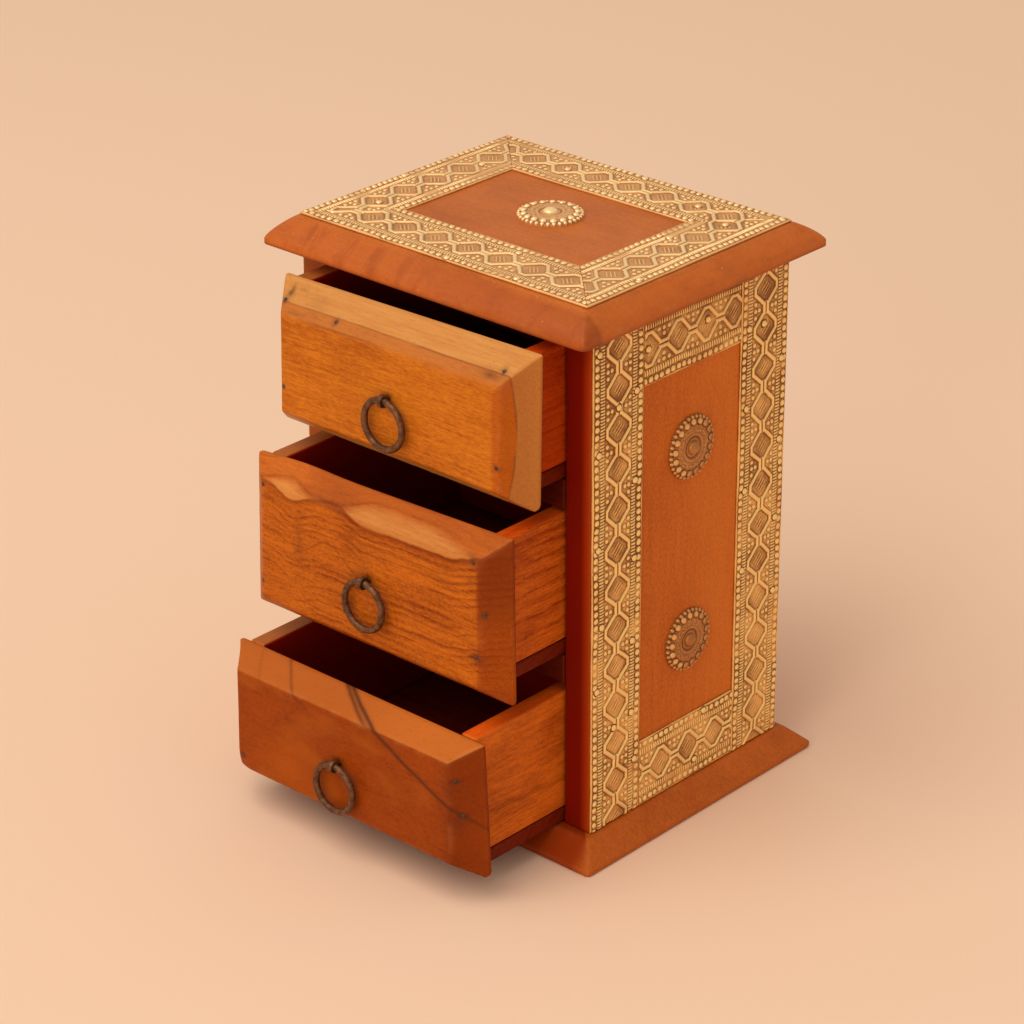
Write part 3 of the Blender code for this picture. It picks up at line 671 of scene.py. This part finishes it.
def with_colour(f, colour):
    f.colour = colour
    return f


# Offsets of each front's corners (right, up): bottom left, bottom right, top right, top left
FRONT_SHAPES = {
    "upper": dict(lip=1.2, bevels=(6.2, 8.0, 6.6, 8.6), powers=(1.0, 1.4, 1.0, 1.0),
                  corners=((0, 0), (0, 0), (1.0, 1.9), (1.6, 0)), rounds=(1.0, 2.6, 0.6, 0.6), soft=0.28),
    "middle": dict(lip=1.2, bevels=(7.2, 7.2, 5.0, 6.4), powers=(1.0, 1.05, 1.0, 1.1), crest=(-31.0, 14.0, 0.8),
                   corners=((-1.6, -0.5), (1.5, 0), (0.9, 2.2), (0, -0.9)), rounds=(1.0, 1.4, 0.5, 1.6), soft=0.35),
    "lower": dict(lip=1.2, bevels=(7.2, 7.2, 5.5, 5.2), powers=(1.2, 1.25, 1.0, 1.0),
                  corners=((0, 0), (2.2, 0), (0, -0.8), (1.2, -0.5)), rounds=(3.6, 2.4, 0.6, 1.0), soft=0.18),
}
# Nail heads on each front: right of its middle, up from its middle
FRONT_NAILS = {
    "upper": ((-44.1, 18.0), (-22.0, 17.2), (42.6, 19.6), (42.0, -9.2), (-43.3, -8.6)),
    "middle": ((42.0, 19.4), (45.6, 3.7), (42.6, -10.6), (-43.4, 17.6), (-45.1, -14.8)),
    "lower": ((45.6, 10.4), (47.1, -1.0), (-41.6, -12.7)),
}
EYE_DENT = (0.0, 0.0, 1.5, 0.45)
WORN_CORNER = (-45.0, -18.0, 3.6, 1.5)
# Smudges on each front: right and up from its middle, half width, half height and strength
FRONT_SMUDGES = {
    "upper": ((-43.2, 20.0, 1.1, 1.5, 0.75), (38.8, 18.0, 3.0, 0.8, 0.6), (-38.0, 15.9, 3.6, 0.4, 0.35),
              (-39.5, 21.6, 2.2, 0.8, 0.2), (-31.0, 19.6, 3.6, 2.4, 0.14)),
    "middle": ((43.2, -10.6, 1.9, 1.4, 0.7), (41.0, 21.4, 2.0, 0.45, 0.45), (-28.5, 4.5, 1.7, 9.0, 0.24)),
    "lower": ((44.0, 8.0, 2.6, 3.2, 0.14), (46.5, -3.0, 2.2, 2.6, 0.26)),
}
NAIL_RADIUS = 0.66


def dome(radius, height, rings=6, sides=16):
    """Points and faces of a low dome standing on its own rim, with a short skirt."""
    turns = np.linspace(0, 2 * pi, sides, endpoint=False)
    points = [(0, 0, height)]
    for k in range(1, rings + 1):
        angle = pi / 2 * k / rings
        points += [(radius * sin(angle) * cos(t), radius * sin(angle) * sin(t), height * cos(angle)) for t in turns]
    points += [(radius * cos(t), radius * sin(t), -height) for t in turns]
    faces = [(0, 1 + i, 1 + (i + 1) % sides) for i in range(sides)]
    for k in range(rings):
        first, second = 1 + k * sides, 1 + (k + 1) * sides
        faces += [(first + i, second + i, second + (i + 1) % sides, first + (i + 1) % sides) for i in range(sides)]
    last = 1 + rings * sides
    faces.append(tuple(last + i for i in reversed(range(sides))))
    return np.array(points), faces


def domes(name, places, radius, height, body, material, nodes=()):
    """One piece of several domes; each place is a point and the direction that the dome faces."""
    points, faces = [], []
    shape, shape_faces = dome(radius, height)
    for place, outward in places:
        turn = np.array(Vector(outward).to_track_quat("Z", "Y").to_matrix())
        start = len(points) * len(shape)
        points.append(shape @ turn.T + place)
        faces += [tuple(start + i for i in face) for face in shape_faces]
    mesh = bpy.data.meshes.new(name)
    mesh.from_pydata(np.concatenate(points) * MM, [], faces)
    mesh.materials.append(material)
    mesh.shade_smooth()
    piece = bpy.data.objects.new(name, mesh)
    bpy.context.scene.collection.objects.link(piece)
    return declare(piece, body, nodes)


def iron(name, light, dark, roughness, metallic):
    """Dark forged iron with brown rust in patches."""
    s = Shader(name)
    x, y, z = s.place()
    patches = s.noise(x / 1.6, y / 1.6, z / 1.6, 4.0, 0.6)
    grit = s.noise(x * 3.0, y * 3.0, z * 3.0, 2.0)
    colour = s.blend(s.ease(patches + (grit - 0.5) * 0.3, 0.35, 0.65), light, dark)
    s.surface(base_color=colour, roughness=roughness + (patches - 0.5) * 0.3, metallic=metallic)
    s.bump(grit * 0.6 + patches, 0.12 * MM, 0.6)
    return s.material


def brass(name, bright, mid, dark, metallic, patchy=0.35):
    """Embossed brass: bright where the relief stands up, brown with age where it is low."""
    s = Shader(name)
    x, y, z = s.place()
    blotch = s.noise(x / 9.0, y / 9.0, z / 9.0, 3.0)
    speckle = s.noise(x / 0.7, y / 0.7, z / 0.7, 2.0, 0.6)
    level = s.attribute("relief") + (blotch - 0.5) * patchy + (speckle - 0.5) * 0.25
    low = s.blend(s.ease(level, 0.0, 0.5), dark, mid)
    raised = s.ease(level, 0.42, 1.0)
    s.surface(base_color=s.blend(raised, low, bright), roughness=0.47 - raised * 0.17, metallic=metallic)
    s.bump(speckle, 0.05 * MM, 0.35)
    return s.material


SIDE_BRASS = brass("side_brass", (1.0, 0.70, 0.265), (0.93, 0.51, 0.150), (0.23, 0.072, 0.011), 0.45, 0.75)
# The top strips' brass: the side strips' brass with lighter hollows, painted light from above.
TOP_PAINTED_LIGHT_BRASS = brass("top_painted_light_brass", (1.0, 0.71, 0.33), (0.90, 0.475, 0.168), (0.43, 0.168, 0.050), 0.40)
BRIGHT_BRASS = brass("bright_brass", (1.0, 0.71, 0.35), (0.74, 0.37, 0.13), (0.34, 0.115, 0.034), 0.35)
BRONZE = brass("aged_bronze", (0.86, 0.47, 0.16), (0.44, 0.168, 0.040), (0.16, 0.046, 0.009), 0.6)
IRON = iron("dark_iron", (0.19, 0.075, 0.026), (0.080, 0.028, 0.009), 0.5, 0.55)
NAIL_IRON = iron("nail_iron", (0.11, 0.050, 0.022), (0.040, 0.016, 0.008), 0.6, 0.25)


def build_boards():
    for node, wood_material, lip, bevels, power, rounds, back_round, seed in (
            ("top_board", TOP_WOOD, 1.3, (6.2, 6.2, 8.7, 8.7), 0.62, (1.0, 2.2, 1.2, 1.2), 0.4, 11),
            ("base_board", BASE_WOOD, 1.8, (6.5, 6.5, 6.5, 6.5), 1.0, (1.4,) * 4, 1.0, 21)):
        low, high = box_mm(node)
        size = high - low
        board = WorkedBoard(size, lip, bevels, (power,) * 4, rounds=rounds, soft=0.35, wobble=0.08, seed=seed)
        middle = (low + high) / 2
        board.build((middle[0], middle[1], low[2]), (X, Y, Z), back_round, body="carcass", nodes=[node],
                    name=node + "_planed", slot="board_wood", material=wood_material)


def build_front(label):
    low, high = box_mm(label + "_drawer_front")
    width, thickness, height = high - low
    board = WorkedBoard((width, height, thickness), seed=len(label) * 7, **FRONT_SHAPES[label])
    nails = FRONT_NAILS[label]
    board.dents = [EYE_DENT] + [(a, b, 1.0, 0.28) for a, b in nails]
    if label == "lower":
        board.dents.append(WORN_CORNER)
    origin = np.array(((low[0] + high[0]) / 2, high[1], (low[2] + high[2]) / 2))
    axes = (X, Z, -Y)
    stains = [(a, b, 1.2, 1.0, 0.6) for a, b in nails] + [(0.0, 0.3, 1.8, 1.8, 0.5)]
    stains += FRONT_SMUDGES[label]
    board.build(origin, axes, body=label + "_drawer", nodes=[label + "_drawer_front"], name=label + "_front_planed",
                slot=label + "_front_wood", material=front_material(label), stains=stains)
    step = 0.4
    places = []
    for a, b in nails:
        a, b = np.array(a), np.array(b)
        slope_a = (board.level(a + step, b) - board.level(a - step, b)) / (2 * step)
        slope_b = (board.level(a, b + step) - board.level(a, b - step)) / (2 * step)
        point = placed(a, b, board.level(a, b) + 0.05, origin, axes)
        places.append((point, -slope_a * axes[0] - slope_b * axes[1] + axes[2]))
    domes(label + "_front_nails", places, NAIL_RADIUS, 0.2, label + "_drawer", NAIL_IRON)


def link_depths(side, t):
    """How far a place lies inside a link's outline and inside its panel or groove.

    side is the distance from the strip's middle line, and t the distance along it from the link's centre.
    """
    fall = (LINK_OUTER - NECK_HALF) / (NECK_START - LINK_FLAT)
    slanted = (LINK_OUTER + LINK_FLAT * fall - side - fall * t) / sqrt(1 + fall ** 2)
    outline = np.maximum(np.minimum(LINK_OUTER - side, slanted), NECK_HALF - side)
    panel = np.minimum.reduce((PANEL_ACROSS - side, PANEL_ALONG - t, slanted - BAR_WIDTH))
    return outline, np.maximum(panel, GROOVE_HALF - side)


def hump(across, along, radius, height):
    """Half-round bead of a given height about 0, 0."""
    inside = 1 - (across / radius) ** 2 - (along / radius) ** 2
    return height * np.sqrt(np.clip(inside, 0, 1))


def relief(across, along, seed, lean):
    """Height of the strip's pattern above its ground, and where its hatched panels are."""
    rng = np.random.default_rng(seed)
    along = along + 0.30 * soft_noise(along, across, 9, seed + 1)
    along = along + 0.07 * soft_noise(along, across, 2, seed + 2)
    across = across + 0.28 * soft_noise(along, across, 9, seed + 3)
    side = np.abs(across)
    shape = np.zeros_like(across)

    for sign in (-1, 1):
        number = np.round(along / BEAD_PITCH).astype(int)
        jitter = rng.uniform(-0.14, 0.14, 256)[number % 256]
        fullness = rng.uniform(0.8, 1.05, 256)[number % 256]
        bead = hump(across - sign * BEAD_ROW, along - number * BEAD_PITCH - jitter, BEAD_RADIUS, BEAD_HEIGHT)
        shape = np.maximum(shape, bead * fullness)

    off = side - ROPE_ROW
    strands = np.cos(2 * pi * (along + ROPE_SLANT * across) / ROPE_PITCH)
    cross = np.clip(1 - (off / ROPE_HALF) ** 2, 0, 1)
    shape = np.maximum(shape, ROPE_HEIGHT * np.sqrt(cross) * smooth_step(strands, -0.75, 0.6))

    t = along - LINK_PITCH * np.round(along / LINK_PITCH)
    outline, inside = link_depths(side, np.abs(t))
    panel = smooth_step(inside, 0.0, 0.25)
    hatch = 0
    for turn, share in ((lean, 0.85), (-lean, 0.15)):
        stroke = (t + turn * across) / sqrt(2)
        run = (across - turn * t) / sqrt(2)
        focus = (0.1 + 0.9 * np.exp(-(stroke / HATCH_FOCUS) ** 4)) * smooth_step(HATCH_RUN - np.abs(run), -0.4, 0.3)
        hatch = hatch + share * focus * smooth_step(np.cos(2 * pi * stroke / HATCH_PITCH), -0.1, 0.8)
    hatch = HATCH_HEIGHT * hatch * smooth_step(inside, 0.3, 0.6)
    shape = np.where(panel > 0, shape + panel * (hatch - PANEL_DEPTH), shape)
    shape = np.maximum(shape, BAR_HEIGHT * smooth_step(np.minimum(outline, -inside), -0.15, 0.5))

    from_neck = along - LINK_PITCH * (np.floor(along / LINK_PITCH) + 0.5)
    for place, offset in SEEDS:
        shape = np.maximum(shape, hump(side - place, from_neck - offset, SEED_RADIUS, SEED_HEIGHT))

    wear = 0.90 + 0.2 * soft_noise(along, across, 13, seed + 4)
    rubbed = smooth_step(soft_noise(along, across, 8, seed + 5), 0.3, 0.75) * smooth_step(side, 5.2, 6.4)
    wear = wear * (1 - 0.5 * rubbed)
    rim = smooth_step(side, STRIP_HALF - 0.55, STRIP_HALF - 0.25)
    return np.maximum(shape * wear, RIM_HEIGHT * rim), panel


def relief_shade(height, reach):
    """How bright the brass is: high places are rubbed, and hollows and the feet of steps are brown."""
    hollow = CAVITY_SHADE * (height - blurred(height, reach)) + EDGE_SHADE * (height - blurred(height, 2))
    return GROUND_SHADE + hollow + HEIGHT_SHADE * np.maximum(height, 0)


def build_strip(node, along_axis, across_axis, mitred, phase, seed, lean, nails, painted_lighting, material):
    """One embossed strip over its CAD plate; nails are given along and across it from its middle."""
    low, high = box_mm(node)
    middle, half = (low + high) / 2, (high - low) / 2
    outward = np.cross(along_axis, across_axis)
    length = 2 * abs(half @ np.abs(along_axis))
    width = 2 * abs(half @ np.abs(across_axis))
    seat = middle - outward * (half @ np.abs(outward))
    b = np.linspace(-width / 2, width / 2, round(width / STRIP_STEP) + 1)
    u = np.linspace(-1, 1, round(length / STRIP_STEP) + 1)
    u, b = np.meshgrid(u, b)
    trim = (b + width / 2) if mitred else np.zeros_like(b)
    a = u * (length / 2 - trim + (MITRE_REACH if mitred else 0.0))
    across = b * (2 * STRIP_HALF / width)
    height, panel = relief(across, a + phase, seed, lean)
    for na, nb in nails:
        reach = np.hypot(a - na, b - nb)
        head = np.where(reach < 1.0, 0.25 + hump(a - na, b - nb, 1.0, 0.45), -0.05)
        height = np.where(reach < 1.35, head, height)
    ends = length / 2 - trim + (MITRE_REACH if mitred else 0.0) - np.abs(a)
    edge = np.minimum(STRIP_HALF - np.abs(across), (4 * ends + 0.1) if mitred else ends)
    top = SHEET_EDGE + height - 0.25 * (1 - smooth_step(edge, 0.0, 0.35))
    axes = (along_axis, across_axis, outward)
    points = placed(a, b, top, seat, axes)
    ring = placed(a, b, np.full_like(a, -SEAT_GAP), seat, axes)
    ring = np.concatenate((ring[0, :-1], ring[:-1, -1], ring[-1, :0:-1], ring[:0:-1, 0]))
    # Painted light and shade along the strip, from its first end to its second.
    shade = relief_shade(height, 4) + PANEL_SHADE * panel + painted_lighting[0] + (painted_lighting[1] - painted_lighting[0]) * (u + 1) / 2
    # Painted shade of the top board's overhang: the upper strips' brass muted, and darker near its top edge.
    if node.endswith("upper_strip"):
        shade = 0.11 + 0.68 * shade - 0.3 * smooth_step(b, 5.0, 8.0)
    return closed_sheet(points, [ring], "carcass", [node], node + "_embossed", "brass", material, 0.9,
                        [("relief", shade)])


# Where each strip's pattern starts, the painted light and shade at its two ends, and its nails: along and across it
# from its middle
TOP_STRIPS = {
    "front": (11.4, (0.0, 0.0), ((-23.0, -9.6), (2.1, -9.8), (28.1, -8.8), (15.1, 6.6))),
    "right": (9.9, (0.0, 0.0), ((9.7, 5.8), (28.9, 0.4), (-21.0, -8.9))),
    "back": (3.2, (0.0, 0.0), ((-29.4, -0.8), (21.1, 0.6), (-44.9, 6.2), (-2.0, -8.8))),
    "left": (1.0, (0.0, 0.0), ((24.9, 1.4), (-20.1, 1.8), (3.0, -9.0))),
}
SIDE_STRIPS = {
    "front": (2.45, (0.10, -0.03), ((-33.0, 8.8), (-12.5, 6.8), (13.0, 8.5), (43.0, 8.5), (74.0, 8.5), (-62.5, -8.5),
                     (-46.0, -7.0), (-22.0, -7.0), (5.0, -7.5), (30.0, -7.5), (58.0, -7.8), (-48.0, 1.0),
                     (55.2, 0.0))),
    "rear": (4.55, (0.09, -0.03), ((-18.0, 8.2), (8.5, 7.8), (35.5, 8.0), (61.0, 7.5), (-30.5, -7.5), (-5.5, -7.5),
                    (20.5, -8.3), (47.0, -8.3), (60.7, 0.5))),
    "upper": (7.0, (-0.08, -0.08), ((-20.5, 0.2), (6.3, 1.2))),
    "lower": (12.2, (0.08, 0.08), ((8.0, 9.6), (4.0, -5.8))),
}


def build_strips():
    top = {"front": (X, Y), "right": (Y, -X), "back": (-X, -Y), "left": (-Y, X)}
    for number, (place, (along, across)) in enumerate(top.items()):
        phase, painted_lighting, nails = TOP_STRIPS[place]
        lean = 1 if place in ("front", "back") else -1
        build_strip("top_" + place + "_strip", along, across, True, phase, 40 + number * 10, lean, nails, painted_lighting,
                    TOP_PAINTED_LIGHT_BRASS)
    for side, outward in (("right", X), ("left", -X)):
        sign = outward[0]
        for number, (place, (phase, painted_lighting, nails)) in enumerate(SIDE_STRIPS.items()):
            upright = place in ("front", "rear")
            along, across = (Z, -sign * Y) if upright else (sign * Y, Z)
            seed = 90 + number * 10 + (50 if sign < 0 else 0)
            build_strip("%s_%s_strip" % (side, place), along, across, False, phase, seed,
                        1 if upright else -1, nails, painted_lighting, SIDE_BRASS)


ROSETTE_BEADS = 17
ROSETTE_RINGS = 64
ROSETTE_SIDES = 360
STUD_SHADE = {"brass": 0.95, "bronze": 0.5}
STUD_RISE = {"brass": 1.15, "bronze": 1.7}


def rosette_height(radius, turn, rim, seed):
    """Relief of a rosette: a rim of small beads, a ring of large ones, a chased band and a dished middle."""
    rng = np.random.default_rng(seed)
    step = 2 * pi / ROSETTE_BEADS
    number = np.round(turn / step).astype(int)
    fullness = rng.uniform(0.85, 1.05, ROSETTE_BEADS + 1)[number % ROSETTE_BEADS]
    bead_row, small_row = 0.815 * rim, 0.955 * rim
    height = np.zeros_like(radius)
    large = hump(radius - bead_row, bead_row * (turn - number * step), 0.106 * rim, 0.80)
    height = np.maximum(height, large * fullness)
    half_step = step / 2
    small_number = np.round(turn / half_step)
    small = hump(radius - small_row, small_row * (turn - small_number * half_step), 0.062 * rim, 0.45)
    height = np.where(radius > bead_row + 0.06 * rim, np.maximum(height, small), height)
    band = hump(radius - 0.575 * rim, 0 * turn, 0.125 * rim, 0.20)
    chased = soft_noise(radius * np.cos(turn), radius * np.sin(turn), 0.42, seed + 1)
    height = np.maximum(height, band * (0.6 + 0.6 * chased))
    ring = hump(radius - 0.42 * rim, 0 * turn, 0.04 * rim, 0.15)
    height = np.maximum(height, ring * (0.8 + 0.2 * np.cos(turn * 36)))
    groove = np.exp(-((radius / rim - 0.325) / 0.03) ** 2)
    return height - 0.28 * groove


def rosette_crown(radius, rim):
    """Height of the rosette's sheet above the wood: it falls away towards the rim."""
    return 1.05 - 0.75 * (radius / rim) ** 4


def build_rosette(spot, outward, material, slot, seed):
    node, stud = spot + "_rosette", spot + "_rosette_stud"
    low, high = box_mm(node)
    centre = (low + high) / 2
    half = (high - low) / 2
    seat = centre - outward * (half @ np.abs(outward))
    first = Z if abs(outward[2]) < 0.5 else X
    second = np.cross(outward, first)
    rim = max(half)
    radii = np.linspace(0, rim, ROSETTE_RINGS + 1)[1:]
    turns = np.linspace(0, 2 * pi, ROSETTE_SIDES, endpoint=False)
    turn, radius = np.meshgrid(turns, radii)
    relief_height = rosette_height(radius, turn, rim, seed)
    edge = 1 - smooth_step(rim - radius, 0.0, 0.35)
    height = relief_height + rosette_crown(radius, rim) - 0.2 * edge
    scallop = radius * (1 + 0.012 * np.cos(turn * 2 * ROSETTE_BEADS) * smooth_step(radius, 0.8 * rim, rim))
    points = placed(scallop * np.cos(turn), scallop * np.sin(turn), height, seat, (first, second, outward))
    low_ring = np.full(ROSETTE_SIDES, -SEAT_GAP)
    wall = placed(scallop[-1] * np.cos(turns), scallop[-1] * np.sin(turns), low_ring, seat, (first, second, outward))
    none = np.zeros(1)
    middle = placed(none, none, rosette_crown(none, rim), seat, (first, second, outward))
    everything = np.concatenate((points.reshape(-1, 3), wall, middle))
    count = ROSETTE_RINGS * ROSETTE_SIDES
    index = np.arange(count + ROSETTE_SIDES).reshape(-1, ROSETTE_SIDES)
    inner, outer = index[:-1], index[1:]
    quads = np.stack((inner, outer, np.roll(outer, -1, 1), np.roll(inner, -1, 1)), -1).reshape(-1, 4)
    fan = np.stack((np.full(ROSETTE_SIDES, count + ROSETTE_SIDES), index[0], np.roll(index[0], -1)), -1)
    corners = np.concatenate((quads.ravel(), fan.ravel(), index[-1][::-1]))
    starts = np.concatenate((np.arange(len(quads)) * 4, len(quads) * 4 + np.arange(len(fan)) * 3,
                             [len(quads) * 4 + len(fan) * 3]))
    share = np.concatenate((np.repeat(radii / rim * 0.46, ROSETTE_SIDES), np.full(ROSETTE_SIDES, 0.49), [0.0]))
    angle = np.concatenate((np.tile(turns, ROSETTE_RINGS + 1), [0.0]))
    flat = np.stack((0.5 + share * np.cos(angle), 0.5 + share * np.sin(angle)), -1)
    uv = flat[corners]
    uv[-ROSETTE_SIDES:] = 0.06 + 0.05 * np.stack((np.cos(turns), np.sin(turns)), -1)[::-1]
    shade = relief_shade(relief_height, 3)
    # Bronze: painted highlights on the bead tops that face the front and up, painted shade on those that face back,
    # over even rubbing of all bead tops.
    if slot == "bronze":
        painted_highlight_facing = np.clip(-second[1] * np.sin(turn) + 0.5 * np.cos(turn), -0.5, 1)
        rubbed = smooth_step(relief_height, 0.35, 0.75)
        sunk = np.minimum(shade, 0.6)
        shade = 0.11 + 0.92 * sunk + 0.12 * (shade - sunk) + (0.12 + 0.8 * painted_highlight_facing) * rubbed
    shade = np.append(shade.ravel(), np.full(ROSETTE_SIDES + 1, 0.4))
    finish_piece(node + "_embossed", everything, corners, starts, uv, "carcass", [node], material,
                 [("relief", shade)])
    stud_low, stud_high = box_mm(stud)
    stud_middle = (stud_low + stud_high) / 2
    tip = stud_middle + outward * (((stud_high - stud_low) / 2) @ np.abs(outward))
    head = np.sort(stud_high - stud_low)[0] / 2
    rise = STUD_RISE[slot]
    cap = domes(node + "_dome", [(tip - outward * 1.7, outward)], head * 0.86, rise, "carcass", material, [stud])
    values = np.full(len(cap.data.vertices), STUD_SHADE[slot], np.float32)
    cap.data.attributes.new("relief", "FLOAT", "POINT").data.foreach_set("value", values)


def build_rosettes():
    build_rosette("top", Z, BRIGHT_BRASS, "brass", 5)
    for side, outward in (("right", X), ("left", -X)):
        for seed, place in enumerate(("upper", "lower")):
            build_rosette(side + "_" + place, outward, BRONZE, "bronze", 60 + seed)


RING_TURNS, RING_SIDES = 120, 20


def build_ring(label, seed):
    """A forged ring that hangs from its eye, a little uneven all round."""
    low, high = box_mm(label + "_ring_pull")
    centre = (low + high) / 2
    wire = (high[1] - low[1]) / 2
    major = (high[0] - low[0]) / 2 - wire
    turns = np.linspace(0, 2 * pi, RING_TURNS, endpoint=False)
    round_ = np.linspace(0, 2 * pi, RING_SIDES, endpoint=False)
    turn, spin = np.meshgrid(turns, round_, indexing="ij")
    uneven = 1.03 + 0.04 * soft_noise(turn * 3, spin, 1.0, seed)
    flat = 1 - 0.04 * np.cos(2 * spin + 1.0) ** 2
    reach = wire * uneven * flat
    out = major + reach * np.cos(spin)
    points = np.stack((centre[0] + out * np.sin(turn), centre[1] + reach * np.sin(spin), centre[2] + out * np.cos(turn)), -1)
    index = np.arange(RING_TURNS * RING_SIDES).reshape(RING_TURNS, RING_SIDES)
    ahead = np.roll(index, -1, 0)
    quads = np.stack((index, np.roll(index, -1, 1), np.roll(ahead, -1, 1), ahead), -1).reshape(-1, 4)
    uv = np.stack(np.meshgrid(np.arange(RING_TURNS), np.arange(RING_SIDES), indexing="ij"), -1).reshape(-1, 1, 2)
    uv = (uv + np.array(((0, 0), (0, 1), (1, 1), (1, 0)))) / (RING_TURNS, RING_SIDES)
    finish_piece(label + "_ring_forged", points.reshape(-1, 3), quads.ravel(), np.arange(len(quads)) * 4,
                 uv.reshape(-1, 2), label + "_ring", [label + "_ring_pull"], IRON)


def dress_nodes():
    """Materials of the CAD pieces that stay as they are."""
    for name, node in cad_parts.items():
        if name.endswith("_panel"):
            finish = PANEL_WOOD
        elif name.endswith("_divider"):
            finish = DIVIDER_PAINTED_SHADE_WOOD
        elif name.endswith("_drawer_bottom"):
            finish = BOTTOM_STAIN_AND_PAINTED_SHADE_WOOD
        elif name.endswith(("_side", "_drawer_back")):
            finish = UPPER_BOX_PAINTED_SHADE_WOOD if name.startswith("upper") else BOX_WOOD
        elif name.endswith("_eye"):
            finish = IRON
        else:
            continue
        node.data.materials.clear()
        node.data.materials.append(finish)
        weld = node.modifiers.new("weld", "WELD")
        weld.merge_threshold = 0.001 * MM
        bevel = node.modifiers.new("bevel", "BEVEL")
        bevel.width = (0.1 if finish is IRON else 0.4) * MM
        bevel.segments = 2
        bevel.limit_method = "ANGLE"
        bevel.angle_limit = radians(40)


FLOOR_COLOUR = (0.88, 0.60, 0.42)
WORLD_COLOUR = (1.0, 0.92, 0.82)
WORLD_STRENGTH = 0.57
LAMP_COLOUR = (1.0, 0.95, 0.88)
AIM = (0.0, 0.0, 0.09)
# Name, place, width in metres and watts
LAMPS = (("key", (-0.3, -1.35, 2.45), 2.4, 46.0), ("fill", (0.6, -2.1, 0.7), 0.9, 8.5))


def build_stage():
    bpy.ops.mesh.primitive_plane_add(size=8.0)
    floor = bpy.context.object
    floor.name = "floor"
    s = Shader("floor")
    s.surface(base_color=FLOOR_COLOUR, roughness=0.9)
    floor.data.materials.append(s.material)

    world = bpy.data.worlds.new("studio")
    world.use_nodes = True
    background = world.node_tree.nodes["Background"]
    background.inputs["Color"].default_value = (*WORLD_COLOUR, 1.0)
    background.inputs["Strength"].default_value = WORLD_STRENGTH
    bpy.context.scene.world = world

    for name, place, size, power in LAMPS:
        lamp = bpy.data.lights.new(name, "AREA")
        lamp.size = size
        lamp.energy = power
        lamp.color = LAMP_COLOUR
        light = bpy.data.objects.new(name, lamp)
        light.location = place
        aim = Vector(AIM) - Vector(place)
        light.rotation_euler = aim.to_track_quat("-Z", "Y").to_euler()
        bpy.context.scene.collection.objects.link(light)


def build_camera():
    azimuth, elevation, roll = radians(CAMERA_AZIMUTH), radians(CAMERA_ELEVATION), radians(CAMERA_ROLL)
    back = Vector((sin(azimuth) * cos(elevation), -cos(azimuth) * cos(elevation), sin(elevation)))
    right = Vector((0, 0, 1)).cross(back).normalized()
    up = back.cross(right)
    right, up = cos(roll) * right + sin(roll) * up, cos(roll) * up - sin(roll) * right
    axes = Matrix((right, up, back)).transposed()
    data = bpy.data.cameras.new("camera")
    data.sensor_width = SENSOR_WIDTH
    data.lens = SENSOR_WIDTH * FOCAL_PIXELS / PHOTO_SIZE
    data.clip_start, data.clip_end = 0.05, 20.0
    camera = bpy.data.objects.new("camera", data)
    shift_right, shift_up, distance = (value * MM for value in CAMERA_OFFSET)
    camera.matrix_world = Matrix.Translation(axes @ Vector((-shift_right, -shift_up, distance))) @ axes.to_4x4()
    bpy.context.scene.collection.objects.link(camera)
    bpy.context.scene.camera = camera


build_camera()
build_stage()
dress_nodes()
build_boards()
for drawer in ("lower", "middle", "upper"):
    build_front(drawer)
    build_ring(drawer, len(drawer))
build_strips()
build_rosettes()
bpy.context.scene.view_settings.view_transform = "Standard"
